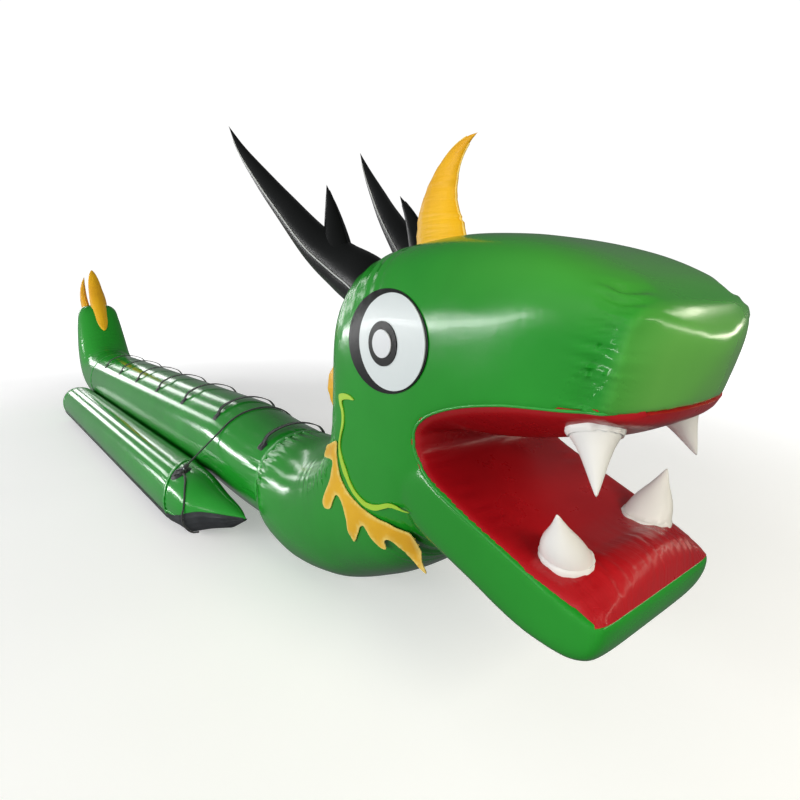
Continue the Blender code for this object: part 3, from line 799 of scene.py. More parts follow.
@dataclass(frozen=True)
class WovenFinish(Finish):
    """Black webbing or braided rope, whose threads follow the piece's own map."""

    name: str
    slot: str
    threads_across: float
    threads_along: float
    light: Colour = (0.075, 0.078, 0.080)
    dark: Colour = (0.008, 0.009, 0.010)

    def paint(self, nodes: Nodes) -> None:
        """Lay out the material's nodes.

        Args:
            nodes: the new material's nodes.
        """
        uv = nodes.place.node.outputs["UV"]
        checker = nodes.new("ShaderNodeTexWave", wave_type="BANDS", bands_direction="DIAGONAL", Scale=1.0,
                            Vector=nodes.scaled(uv, (self.threads_across, self.threads_along, 1.0)))
        fuzz = nodes.noise(160.0, 4.0, 0.7)
        height = nodes.math("ADD", checker.outputs["Fac"], fuzz)
        nodes.set(Base_Color=nodes.ramp(height, 0.5, 1.3, self.dark, self.light), Roughness=0.62,
                  Specular_IOR_Level=0.4, Sheen_Weight=0.25, Sheen_Roughness=0.4)
        nodes.bump([(height, 0.0006)])


@dataclass(frozen=True)
class SteelFinish(Finish):
    """Polished stainless wire with fine drawn scratches."""

    name: str = "polished_steel"
    slot: str = "ring_steel"

    def paint(self, nodes: Nodes) -> None:
        """Lay out the material's nodes.

        Args:
            nodes: the new material's nodes.
        """
        smear = nodes.noise(60.0, 5.0, 0.6)
        colour = nodes.ramp(smear, 0.3, 0.7, (0.50, 0.51, 0.52), (0.68, 0.69, 0.70))
        nodes.set(Base_Color=colour, Roughness=nodes.range(smear, 0.16, 0.32), Metallic=1.0)
        nodes.bump([(nodes.noise(900.0, 2.0, 0.5), 0.00005)])


ALL_GRAINS = (Grain.VARY_X, Grain.VARY_Z, Grain.ALONG_X)
# Its pale colour is painted light: a lighter, yellower green where the warm front light falls on the nose and
# the head's top
GREEN = CoatedCloth("green_coated_cloth", "pvc_green", (0.013, 0.285, 0.018), (0.008, 0.225, 0.012),
                    grains=ALL_GRAINS, waviness=0.0022, pale=(0.110, 0.370, 0.060))
GREEN_TUBE = CoatedCloth("green_coated_tube", "pvc_green", (0.014, 0.280, 0.022), (0.009, 0.230, 0.016),
                         grains=(Grain.ALONG_X,), waviness=0.0008, crinkle=0.00012, roughness=0.13)
GREEN_SEAM = CoatedCloth("green_weld_tape", "pvc_green", (0.030, 0.330, 0.040), (0.020, 0.270, 0.030),
                         roughness=0.22, waviness=0.0010)
RED = CoatedCloth("red_coated_cloth", "pvc_red", (0.450, 0.010, 0.014), (0.320, 0.004, 0.008),
                  roughness=0.28, coat=0.05, specular=0.38, waviness=0.0016,
                  grains=(Grain.VARY_Y, Grain.VARY_X), fold_depth=0.0030)
BLACK = CoatedCloth("black_coated_cloth", "pvc_black", (0.0040, 0.0046, 0.0046), (0.0020, 0.0024, 0.0024),
                    roughness=0.30, coat=0.0, crinkle=0.0004, waviness=0.0012, specular=0.22)
# Pale grey on the black horns' weld flanges: a painted highlight standing for the glint along each seam
PAINTED_HIGHLIGHT_SEAM = CoatedCloth("pale_weld_flange_painted_highlight", "pvc_black", (0.620, 0.640, 0.640), (0.420, 0.440, 0.440),
                         roughness=0.20, coat=0.4)
WHITE = CoatedCloth("white_coated_cloth", "pvc_white", (0.800, 0.790, 0.760), (0.700, 0.690, 0.660),
                    roughness=0.32, coat=0.1, waviness=0.0020, crinkle=0.0004)
WHITE_FLAT = CoatedCloth("white_printed_cloth", "pvc_white", (0.620, 0.670, 0.660), (0.560, 0.610, 0.610),
                         roughness=0.34, coat=0.1, waviness=0.0012, crinkle=0.0003)
GREY = CoatedCloth("grey_coated_cloth", "pvc_grey", (0.640, 0.660, 0.670), (0.560, 0.580, 0.590),
                   roughness=0.32, coat=0.1)
YELLOW = CoatedCloth("yellow_coated_cloth", "pvc_yellow", (0.860, 0.480, 0.008), (0.660, 0.290, 0.004),
                     roughness=0.38, coat=0.0, crinkle=0.0010, grains=(Grain.VARY_X, Grain.VARY_Z),
                     fold_depth=0.0080)
GOLD = CoatedCloth("gold_coated_cloth", "pvc_yellow", (0.780, 0.470, 0.012), (0.620, 0.310, 0.006),
                   roughness=0.42, coat=0.0, crinkle=0.0012, pale=(0.800, 0.660, 0.200))
PALE_YELLOW = CoatedCloth("yellow_weld_edge", "pvc_yellow", (0.860, 0.640, 0.160), (0.780, 0.520, 0.100),
                          roughness=0.40, coat=0.0)
LIME = CoatedCloth("lime_coated_cloth", "pvc_lime", (0.400, 0.620, 0.040), (0.300, 0.520, 0.030),
                   roughness=0.38, coat=0.0)
RUBBER = RubberFinish()
WEBBING = WovenFinish("black_webbing", "webbing_black", 26.0, 90.0)
ROPE = WovenFinish("black_braided_rope", "rope_black", 6.0, 160.0)
STEEL = SteelFinish()


def dress(obj: Piece, finish: Finish, *nodes: str, angle: float = 50.0) -> None:
    """Finish a piece: its shading, material, body and the model's nodes that it stands for.

    Args:
        obj: the piece.
        finish: what it is made of.
        *nodes: names of the model's nodes that it replaces.
        angle: edges sharper than this stay sharp, in degrees.
    """
    activate(obj)
    bpy.ops.object.shade_smooth_by_angle(angle=math.radians(angle))
    obj.data.materials.clear()
    obj.data.materials.append(finish.material())
    for grain in finish.grains:
        if grain.label not in obj.data.attributes:
            mark(obj, grain.label, np.zeros(len(obj.data.vertices)))
    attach(obj, BODY)
    if nodes:
        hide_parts(*nodes)
    LOG.info("%s: %d faces", obj.name, len(obj.data.polygons))


def mirrored(obj: Piece, name: str) -> Piece:
    """Copy a port piece to starboard, with its own mesh.

    Args:
        obj: the port piece.
        name: the copy's name.

    Returns:
        The starboard piece.
    """
    copy = obj.copy()
    copy.data = obj.data.copy()
    copy.name = copy.data.name = name
    bpy.context.scene.collection.objects.link(copy)
    copy.data.transform(Matrix.Diagonal((1.0, -1.0, 1.0, 1.0)))
    copy.data.flip_normals()
    return copy


def dress_pair(port: Piece, finish: Finish, node: str = "", angle: float = 50.0) -> None:
    """Copy a port piece to starboard, add each side to the names and finish both.

    Args:
        port: the port piece, named without its side.
        finish: what they are made of.
        node: the model's node that they stand for, without its side, or nothing.
        angle: edges sharper than this stay sharp, in degrees.
    """
    name = port.name
    stb = mirrored(port, f"{name}_stb")
    port.name = port.data.name = f"{name}_port"
    for piece, side_name in ((port, "port"), (stb, "stb")):
        dress(piece, finish, *([f"{node}_{side_name}"] if node else []), angle=angle)


@dataclass
class SeatTube:
    """The long tube that the riders straddle, and the upswept tail welded to it."""

    tail_seam_x: float = -2.620
    neck_seam_x: float = 1.740
    top: float = 0.7068
    bottom: float = 0.1268
    radius: float = 0.290
    ring_spans: int = 96
    row_spacing: float = 0.024
    tail_spacing: float = 0.020
    tape_width: float = 0.034
    tape_thickness: float = 0.0016

    def seat_table(self) -> Points:
        """Rows of the seat tube, which sinks a little to the neck's seam."""
        straight = [(x, self.top, self.bottom, self.radius) for x in (self.tail_seam_x, -1.200, 0.200, 0.960)]
        sinking = [(1.220, 0.686, 0.116, 0.290), (1.500, 0.656, 0.108, 0.286),
                   (self.neck_seam_x, 0.640, 0.108, 0.282)]
        return np.array([(x, top, x, bottom, half, 2.0, 0.0) for x, top, bottom, half in straight + sinking])

    def tail_table(self) -> Points:
        """Rows of the tail, from its seam up to its blunt top."""
        return np.array([
            (self.tail_seam_x, self.top, self.tail_seam_x, self.bottom, 0.290, 2.0, 0.0),
            (-2.820, 0.710, -2.880, 0.130, 0.290, 2.0, 0.0),
            (-2.970, 0.740, -3.140, 0.165, 0.285, 2.0, 0.0),
            (-3.070, 0.820, -3.380, 0.280, 0.278, 2.1, 0.0),
            (-3.135, 0.930, -3.540, 0.470, 0.268, 2.2, 0.0),
            (-3.195, 1.040, -3.620, 0.720, 0.250, 2.3, 0.0),
            (-3.245, 1.130, -3.650, 0.960, 0.228, 2.4, 0.0),
            (-3.295, 1.206, -3.630, 1.145, 0.200, 2.4, 0.0),
            (-3.365, 1.250, -3.570, 1.225, 0.138, 2.2, 0.0),
            (-3.420, 1.256, -3.510, 1.250, 0.070, 2.0, 0.0),
            (-3.455, 1.258, -3.470, 1.257, 0.012, 2.0, 0.0),
        ])

    def build(self) -> None:
        """Make the seat tube, the tail and the tape over their seam."""
        rings = body_rings(refine(self.seat_table(), self.row_spacing), self.ring_spans)
        tube = skin("seat_tube_skin", capped(rings))
        folds = [self.pucker(tube, self.neck_seam_x, 0.0035), self.pucker(tube, self.tail_seam_x, 0.0020)]
        mark(tube, Grain.ALONG_X.label, np.maximum(*folds))
        dress(tube, GREEN_TUBE, "seat_tube")
        rings = body_rings(refine(self.tail_table(), self.tail_spacing), self.ring_spans)
        tail = skin("tail_skin", capped(rings))
        self.fold_tail(tail)
        dress(tail, GREEN, "tail")
        for name, x in (("tail_seam_tape", self.tail_seam_x), ("neck_seam_tape", self.neck_seam_x)):
            self.tape(name, x)

    def pucker(self, tube: Piece, seam_x: float, depth: float) -> np.ndarray:
        """Gather the cloth at a welded seam.

        Args:
            tube: the tube's skin.
            seam_x: where the seam is.
            depth: how deep the folds are.

        Returns:
            How strong the fine folds are at each vertex.
        """
        places = vertices(tube)
        centre_z = (self.top + self.bottom) / 2.0
        girth = np.arctan2(places[:, 2] - centre_z, places[:, 1]) * self.radius
        near = bell(places[:, 0] - seam_x, 0.10)
        push(tube, near * depth * Ripple(0.045, int(abs(seam_x) * 100.0))(girth) - near * 0.002)
        return bell(places[:, 0] - seam_x, 0.16)

    def fold_tail(self, tail: Piece) -> None:
        """Fold the cloth on the inside of the tail's bend, and gather it at its top.

        Args:
            tail: the tail's skin.
        """
        places = vertices(tail)
        bend = bell(np.hypot(places[:, 0] + 3.03, places[:, 2] - 0.78), 0.16)
        top = bell(places[:, 2] - 1.24, 0.07)
        along = places[:, 2] - places[:, 0]
        depth = bend * 0.006 * Ripple(0.060, 5)(along)
        depth += top * 0.004 * Ripple(0.050, 7)(np.arctan2(places[:, 1], places[:, 0] + 3.46) * 0.15)
        push(tail, depth)
        mark(tail, Grain.VARY_Z.label, bend + 0.5 * top)
        mark(tail, Grain.ALONG_X.label, bell(places[:, 0] - self.tail_seam_x, 0.16))

    def tape(self, name: str, x: float) -> None:
        """Weld a tape round the tube.

        Args:
            name: the piece's name.
            x: where the tape's middle lies.
        """
        table = self.seat_table()
        row = table[0] if x < 0.0 else table[-1]
        ring = body_rings(np.array([row]), self.ring_spans)[0]
        outward = unit(ring - ring[:-1].mean(axis=0))
        tape = sweep(ring, outward, tape_profile(self.tape_width, self.tape_thickness))
        dress(skin(name, tape), GREEN_SEAM)


@dataclass
class Head:
    """Neck, head and lower jaw: one blown-up green skin with the mouth cut out of it."""

    ring_spans: int = 144
    row_spacing: float = 0.016
    voxel: float = 0.00963
    smoothing: int = 8
    mouth_half_width: float = 0.60
    neck_seam_x: float = 1.740
    nose_tip: tuple[float, float] = (3.769, 1.220)
    nose_fullness: float = 1.9

    def head_table(self) -> Points:
        """Rows of the neck and head, from the neck's seam to the ridge of the nose."""
        return np.array([
            (1.740, 0.640, 1.740, 0.108, 0.282, 2.0, 0.0),
            (1.860, 0.640, 1.850, 0.055, 0.318, 2.0, 0.0),
            (2.040, 0.646, 2.060, 0.030, 0.332, 2.0, 0.0),
            (2.240, 0.700, 2.330, 0.075, 0.336, 2.1, 0.0),
            (2.400, 0.830, 2.620, 0.200, 0.337, 2.3, 0.0),
            (2.475, 1.000, 2.850, 0.340, 0.340, 3.0, 0.0),
            (2.492, 1.170, 3.000, 0.470, 0.344, 3.6, 0.0),
            (2.530, 1.330, 3.090, 0.555, 0.347, 4.2, 0.0),
            (2.670, 1.462, 3.140, 0.700, 0.350, 4.2, 0.0),
            (2.860, 1.524, 3.250, 0.840, 0.350, 3.7, 0.0),
            (3.080, 1.542, 3.380, 0.860, 0.350, 3.3, 0.0),
            (3.300, 1.524, 3.480, 0.870, 0.346, 3.6, 0.02),
            (3.500, 1.474, 3.550, 0.870, 0.334, 4.6, 0.06),
            (3.650, 1.402, 3.595, 0.870, 0.318, 5.2, 0.10),
            (3.724, 1.340, 3.602, 0.870, 0.305, 5.5, 0.12),
        ])

    def nose_rows(self) -> Points:
        """Draw the nose's front panel as a shallow pillow, to its foremost point.

        Returns:
            Rows of the same columns as the head's.
        """
        back_x, back_z, belly_x, belly_z, half_width, power, widening = self.head_table()[-1]
        up = np.array([back_x - belly_x, back_z - belly_z]) / 2.0
        middle = np.array([back_x + belly_x, back_z + belly_z]) / 2.0
        offset = np.array(self.nose_tip) - middle
        rows = []
        for inset in (0.03, 0.10, 0.22, 0.38, 0.56, 0.74, 0.88, 0.97):
            share = 1.0 - inset
            slide = np.dot(offset, up) / np.dot(up, up) * up
            ahead = offset - slide
            centre = middle + slide * inset + ahead * (1.0 - share**self.nose_fullness)
            back, belly = centre + up * share, centre - up * share
            rows.append((*back, *belly, half_width * share, 2.4 + (power - 2.4) * share, widening * share))
        return np.array(rows)

    def jaw_table(self) -> Points:
        """Rows of the lower jaw, from inside the neck to its blunt front."""
        rows = (
            (2.600, 0.945, 0.800, 0.220, 2.2),
            (2.760, 0.945, 0.730, 0.290, 2.4),
            (2.880, 0.942, 0.670, 0.318, 2.6),
            (2.980, 0.938, 0.600, 0.335, 2.9),
            (3.062, 0.930, 0.554, 0.344, 3.2),
            (3.150, 0.910, 0.548, 0.347, 4.0),
            (3.270, 0.860, 0.522, 0.346, 4.6),
            (3.390, 0.800, 0.484, 0.343, 5.0),
            (3.500, 0.760, 0.457, 0.336, 5.4),
            (3.590, 0.730, 0.450, 0.326, 5.6),
            (3.645, 0.710, 0.466, 0.315, 5.6),
            (3.672, 0.690, 0.504, 0.303, 5.2),
            (3.682, 0.668, 0.534, 0.288, 4.6),
            (3.687, 0.630, 0.570, 0.262, 4.0),
        )
        return np.array([(x, top, x, bottom, half, power, 0.0) for x, top, bottom, half, power in rows])

    def mouth_outline(self) -> Points:
        """The open mouth, as a wedge seen from the side."""
        lips = np.array([
            (3.950, 1.108), (3.700, 1.096), (3.440, 1.082), (3.300, 1.062), (3.170, 1.025), (3.092, 0.985),
            (3.062, 0.925),
            (3.076, 0.868), (3.120, 0.826), (3.270, 0.760), (3.440, 0.692), (3.700, 0.584), (3.950, 0.490),
        ])
        return open_curve(lips, 8)

    def build(self) -> Piece:
        """Make the green skin.

        Returns:
            The skin, for what is welded on it.
        """
        table = np.vstack([refine(self.head_table(), self.row_spacing), self.nose_rows()])
        head = skin("dragon_skin", capped(body_rings(table, self.ring_spans)))
        jaw_rows = refine(self.jaw_table(), self.row_spacing)
        jaw = skin("jaw_blank", capped(body_rings(jaw_rows, self.ring_spans)))
        mouth = block("mouth_blank", self.mouth_outline(), -self.mouth_half_width, self.mouth_half_width)
        apply_modifier(head, "BOOLEAN", operation="UNION", solver="EXACT", object=jaw)
        apply_modifier(head, "BOOLEAN", operation="DIFFERENCE", solver="EXACT", object=mouth)
        for blank in (jaw, mouth):
            bpy.data.objects.remove(blank, do_unlink=True)
        apply_modifier(head, "REMESH", mode="VOXEL", voxel_size=self.voxel, use_smooth_shade=True)
        apply_modifier(head, "SMOOTH", factor=0.5, iterations=self.smoothing)
        self.fold(head)
        dress(head, GREEN, "head", "neck", "lower_jaw", angle=80.0)
        return head

    def fold(self, head: Piece) -> None:
        """Add the folds that the cloth has at its seams, bends and corners.

        Args:
            head: the green skin.
        """
        places = vertices(head)
        x, y, z = places.T
        side = np.clip((np.abs(y) - 0.20) / 0.08, 0.0, 1.0)
        # The edge between the cheek and the nose's front panel leans forward as it rises
        edge_x = 3.376 + 0.2596 * z
        above = np.clip((z - 1.04) / 0.08, 0.0, 1.0)
        corner = bell(x - edge_x + 0.058, 0.032) * side * above
        depth = -0.015 * corner + 0.0065 * bell(x - edge_x + 0.052, 0.050) * side * above * Ripple(
            0.032, 11)(z + 0.25 * x)
        pinch = bell(np.hypot(x - edge_x + 0.012, z - 1.262), 0.040) * side
        depth -= 0.010 * pinch
        seam = bell(x - self.neck_seam_x, 0.11)
        girth = np.arctan2(z - 0.37, y) * 0.29
        depth += seam * 0.0045 * Ripple(0.045, 13)(girth)
        nape = bell(np.hypot(x - 2.36, z - 0.80), 0.17)
        depth += nape * 0.006 * Ripple(0.075, 17)(x + z)
        throat = bell(np.hypot(x - 3.02, z - 0.50), 0.12)
        depth += throat * 0.005 * Ripple(0.055, 19)(x + z)
        crown = bell(np.hypot(x - 2.72, z - 1.48), 0.16)
        depth += crown * 0.003 * Ripple(0.050, 23)(x)
        depth += 0.0016 * Ripple(0.34, 29)(x + 0.4 * z) * Ripple(0.40, 31)(z - 0.3 * x)
        push(head, depth)
        # Two patches of fine folds on the cheek, and a paler green on the nose's front panel and the head's
        # top: painted light where the warm front light falls
        hatch = bell((x - 3.17) / 1.6, 0.060) * bell(z - 1.30, 0.075)
        spots = bell((x - 3.42) / 1.6, 0.060) * bell(z - 1.31, 0.050)
        mark(head, Grain.VARY_X.label, side * (0.35 * hatch + 0.20 * spots) + 0.35 * crown)
        mark(head, Grain.VARY_Z.label, 0.55 * corner + 0.4 * nape)
        # Painted light: the nose's front panel, and up to 0.45 on the head's top towards the nose, get the
        # paler green
        front = np.clip((x - edge_x + 0.030) / 0.070, 0.0, 1.0) * (z > 1.0)
        top = 0.45 * np.clip((x - 3.05) / 0.62, 0.0, 1.0) * np.clip((z - 1.26) / 0.16, 0.0, 1.0)
        mark(head, PAINTED_LIGHT_AND_PALE_EDGES, np.maximum(front, top))
        mark(head, Grain.ALONG_X.label, bell(x - self.neck_seam_x, 0.17) + 0.35 * throat)


@dataclass
class Mouth:
    """One red lining over palate, throat and lower jaw, with four welded teeth."""

    head: Piece
    lift: float = 0.006
    edge_sink: float = 0.022
    columns: int = 88
    row_spacing: float = 0.010
    thickness: float = 0.012
    seam_inset: float = 0.045
    seam_radius: float = 0.0045
    # From where on the lining bends to the green skin's front, and how far behind it stays
    bend_start: float = 3.48
    front_inset: float = 0.004

    def path(self) -> Points:
        """Rows of x, z, how far the lining is blown out in its middle, and how square that is."""
        return np.array([
            (3.706, 1.0965, -0.002, 2.6),
            (3.690, 1.0955, 0.022, 2.6),
            (3.650, 1.0915, 0.046, 2.6),
            (3.560, 1.0874, 0.086, 2.3),
            (3.440, 1.0820, 0.112, 2.0),
            (3.300, 1.0620, 0.122, 2.0),
            (3.170, 1.0250, 0.105, 2.0),
            (3.100, 0.9880, 0.070, 2.0),
            (3.068, 0.9450, 0.030, 2.0),
            (3.066, 0.9000, 0.012, 2.0),
            (3.085, 0.8560, 0.006, 2.0),
            (3.130, 0.8220, 0.004, 2.0),
            (3.270, 0.7600, 0.003, 3.0),
            (3.440, 0.6920, 0.006, 3.0),
            (3.530, 0.6550, 0.034, 2.2),
            (3.580, 0.6340, 0.064, 2.0),
            (3.625, 0.6160, 0.074, 2.0),
            (3.660, 0.6010, 0.050, 2.2),
            (3.680, 0.5920, 0.016, 2.6),
            (3.690, 0.5880, -0.004, 3.0),
        ])

    def half_width(self, x: np.ndarray, z: np.ndarray, into: Points) -> np.ndarray:
        """How far the green skin reaches sideways beside each point of the lining's edge.

        Args:
            x: the points' x.
            z: the points' z.
            into: directions into the mouth, as x and z.

        Returns:
            Half widths, one per point.
        """
        tree = rays(self.head)
        hits = [tree.ray_cast(Vector((px - nx * 0.020, 1.0, pz - nz * 0.020)), TO_STARBOARD)[0]
                for px, pz, (nx, nz) in zip(x, z, into)]
        widths = np.array([hit.y if hit else np.nan for hit in hits])
        good = np.isfinite(widths) & (widths > 0.15)
        index = np.arange(len(widths))
        widths = np.pad(np.interp(index, index[good], widths[good]), 1, mode="edge")
        return np.convolve(widths, np.ones(3) / 3.0, mode="valid")

    def front_x(self, y: np.ndarray, z: float) -> np.ndarray:
        """How far forward the green skin reaches at a height.

        Args:
            y: places across.
            z: the height.

        Returns:
            The foremost x at each place, held level past the skin's side.
        """
        tree = rays(self.head)
        found = []
        for place in np.abs(y):
            hit = tree.ray_cast(Vector((5.0, place, z)), Vector((-1.0, 0.0, 0.0)))[0]
            found.append(hit.x if hit and hit.x > 3.5 else 3.655)
        return np.array(found)

    def fit_front(self, x: Points, y: Points, lip_x: float, z: float, rows: np.ndarray) -> Points:
        """Bend one end of the lining to the green skin's front, seen from above.

        Args:
            x: the lining's x, by row and column.
            y: its y.
            lip_x: the x of the end row.
            z: the height at which the skin's front is measured.
            rows: 1 for the rows of that end, 0 for the others.

        Returns:
            The bent x.
        """
        row = int(np.argmax(rows * x.mean(axis=1)))
        shift = self.front_x(y[row], z) - self.front_inset - lip_x
        reach = np.clip((x - self.bend_start) / (lip_x - self.bend_start), 0.0, 1.0) * rows[:, None]
        return x + shift[None, :] * reach**2 * (3.0 - 2.0 * reach)

    def surface(self) -> Points:
        """Lay the lining's points.

        Returns:
            The points, row by row from the front of the palate to the front of the jaw.
        """
        rows = refine(self.path(), self.row_spacing, slice(0, 2))
        run = unit(np.gradient(rows[:, :2], axis=0))
        into = np.column_stack([-run[:, 1], run[:, 0]])
        half = self.half_width(rows[:, 0], rows[:, 1], into) - 0.002
        corner = (rows[:, 1] < 0.70) & (rows[:, 0] > 3.630)
        half[corner] = half[~corner][-1] - 0.004
        share = np.sin(np.linspace(-1.0, 1.0, self.columns + 1) * math.pi / 2.0)
        shape = 1.0 - np.abs(share)[None, :] ** rows[:, 3:4]
        edge = self.edge_sink * np.abs(share)[None, :] ** 40
        depth = self.lift - edge + rows[:, 2:3] * shape
        y = half[:, None] * share[None, :]
        distance = travel(rows[:, :2])
        near_edge = bell(np.abs(share) - 0.78, 0.10)[None, :]
        lower = (rows[:, 1:2] < 0.86)
        depth = depth + (0.0012 + 0.0018 * lower) * near_edge * Ripple(0.060, 41)(distance)[:, None]
        roll = np.clip(rows[:, 2:3] / 0.076, 0.0, 1.0) * (rows[:, 1:2] < 0.70)
        depth = depth + 0.0040 * roll * shape * Ripple(0.034, 43)(y + 0.3 * distance[:, None])
        corner = np.abs(share)[None, :] ** 3 * bell(distance - distance[rows[:, 0].argmin()], 0.10)[:, None]
        depth = depth + 0.0040 * corner * Ripple(0.036, 49)(distance)[:, None]
        x = rows[:, 0:1] + into[:, 0:1] * depth
        z = rows[:, 1:2] + into[:, 1:2] * depth
        above = (rows[:, 1] > 0.95).astype(float)
        x = self.fit_front(x, y, rows[0, 0], 1.112, above)
        x = self.fit_front(x, y, rows[-1, 0], 0.572, 1.0 - above)
        return np.stack([x, y, z], axis=2)

    def build(self) -> None:
        """Make the lining and the teeth on it."""
        surface = self.surface()
        lining = skin("mouth_lining_skin", surface[:, ::-1], outward=False)
        places = vertices(lining)
        roll = bell(places[:, 0] - 3.63, 0.07) * (places[:, 2] < 0.76)
        lip = bell(places[:, 0] - 3.68, 0.06) * (places[:, 2] > 0.95)
        mark(lining, Grain.VARY_Y.label, roll + 0.15 * lip)
        mark(lining, Grain.VARY_X.label, 0.35 * bell(np.abs(places[:, 1]) - 0.30, 0.06))
        apply_modifier(lining, "SOLIDIFY", thickness=self.thickness, offset=-1.0, use_even_offset=True)
        dress(lining, RED, "palate_lining", "jaw_lining", "throat_lining", angle=75.0)
        self.build_lip_seam(surface)
        self.build_teeth(surface)

    def build_lip_seam(self, surface: Points) -> None:
        """Lay the bead of the weld where the red lining meets the green skin.

        Args:
            surface: the lining's points.
        """
        column = self.columns - int(round(self.columns * self.seam_inset))
        path = surface[3:-3, column]
        bead = sweep(path, frames(path)[1], circle_profile(self.seam_radius, 12))
        dress_pair(skin("lip_seam", capped(bead)), GREEN_SEAM)

    def build_teeth(self, surface: Points) -> None:
        """Make the four pointed teeth, flared where they are welded to the lining.

        Args:
            surface: the lining's points.
        """
        normals = unit(np.cross(np.gradient(surface, axis=0), np.gradient(surface, axis=1)))
        teeth = (
            ("tooth_upper", 3.587, 0.218, 0.069, (3.628, 0.268, 0.894), True),
            ("tooth_lower", 3.518, 0.207, 0.074, (3.540, 0.288, 0.828), False),
        )
        for name, x, y, radius, tip, upper in teeth:
            for side_name, side in SIDES:
                wanted = surface[:, :, 2] > 0.85 if upper else surface[:, :, 2] < 0.85
                gap = np.hypot(surface[:, :, 0] - x, surface[:, :, 1] - side * y)
                index = np.unravel_index(np.argmin(np.where(wanted, gap, 9.0)), gap.shape)
                seat, up = surface[index], normals[index]
                point = np.array([tip[0], side * tip[1], tip[2]])
                tooth = skin(f"{name}_skin_{side_name}", self.tooth(seat, up, radius, point, int(x * 1000)))
                dress(tooth, WHITE, f"{name}_{side_name}", angle=60.0)

    def tooth(self, seat: Points, up: Points, radius: float, tip: Points, seed: int) -> Points:
        """Rings of one tooth.

        Args:
            seat: middle of its foot on the lining.
            up: the lining's direction into the mouth.
            radius: radius of its foot.
            tip: its point.
            seed: what makes its wavy foot differ from the others.

        Returns:
            Array of rings, points and x, y, z.
        """
        across = unit(np.cross(up, (1.0, 0.0, 0.0)))
        forward = np.cross(across, up)
        angles = full_turn(49)
        wave = Ripple(0.055, seed)(angles * radius)
        wave[-1] = wave[0]
        profile = ((0.0, -0.012), (1.0, -0.012), (1.02, 0.000), (0.985, 0.006), (0.93, 0.012))
        slim = ((0.90, 0.05), (0.84, 0.10), (0.74, 0.17), (0.62, 0.27), (0.49, 0.41), (0.37, 0.56),
                (0.25, 0.72), (0.135, 0.87), (0.055, 0.965), (0.0, 1.0))
        full = ((0.93, 0.08), (0.89, 0.16), (0.82, 0.27), (0.70, 0.40), (0.54, 0.53), (0.37, 0.66),
                (0.23, 0.79), (0.125, 0.90), (0.055, 0.97), (0.0, 1.0))
        body = slim if seat[2] > tip[2] else full
        rings = []
        for share, rise in profile:
            lift = rise + 0.002 * wave * (share > 0.9)
            r = radius * share * (1.0 + 0.025 * wave)
            rings.append(hoop(seat + np.outer(lift * np.ones_like(angles), up), r, angles, forward, across))
        for share, rise in body:
            rings.append(hoop(seat + (tip - seat) * rise, radius * share, angles, forward, across))
        return np.array(rings)


# Outlines of the flame collar and of its lime trim, as x and z
COLLAR = (
    (2.630, 0.830), (2.566, 0.807), (2.500, 0.775), (2.470, 0.730), (2.524, 0.738), (2.590, 0.748),
    (2.584, 0.707), (2.568, 0.663), (2.535, 0.613), (2.512, 0.565), (2.530, 0.542), (2.567, 0.550),
    (2.592, 0.591), (2.616, 0.620), (2.642, 0.614), (2.665, 0.585), (2.677, 0.537), (2.680, 0.500),
    (2.694, 0.470), (2.710, 0.463), (2.743, 0.509), (2.761, 0.539), (2.786, 0.553), (2.801, 0.540),
    (2.822, 0.518), (2.846, 0.500), (2.890, 0.499), (2.892, 0.528), (2.910, 0.544), (2.934, 0.542),
    (2.966, 0.522), (3.008, 0.492), (3.070, 0.473), (3.050, 0.505), (3.045, 0.535), (3.042, 0.560),
    (3.038, 0.600), (2.990, 0.604), (2.938, 0.607), (2.886, 0.608), (2.834, 0.612), (2.777, 0.623),
    (2.717, 0.645), (2.670, 0.675), (2.640, 0.720), (2.625, 0.775),
)
TRIM = (
    (2.659, 1.012), (2.715, 1.019), (2.754, 1.004), (2.714, 1.001), (2.675, 0.988), (2.684, 0.949),
    (2.682, 0.902), (2.661, 0.854), (2.653, 0.813), (2.667, 0.774), (2.690, 0.740), (2.709, 0.707),
    (2.740, 0.677), (2.777, 0.659), (2.822, 0.650), (2.878, 0.662), (2.930, 0.683), (2.966, 0.688),
    (2.999, 0.685), (3.048, 0.688), (2.990, 0.677), (2.946, 0.673), (2.902, 0.653), (2.856, 0.634),
    (2.807, 0.631), (2.762, 0.644), (2.721, 0.668), (2.689, 0.699), (2.661, 0.739), (2.643, 0.787),
    (2.646, 0.835), (2.667, 0.897), (2.671, 0.947), (2.656, 0.985),
)


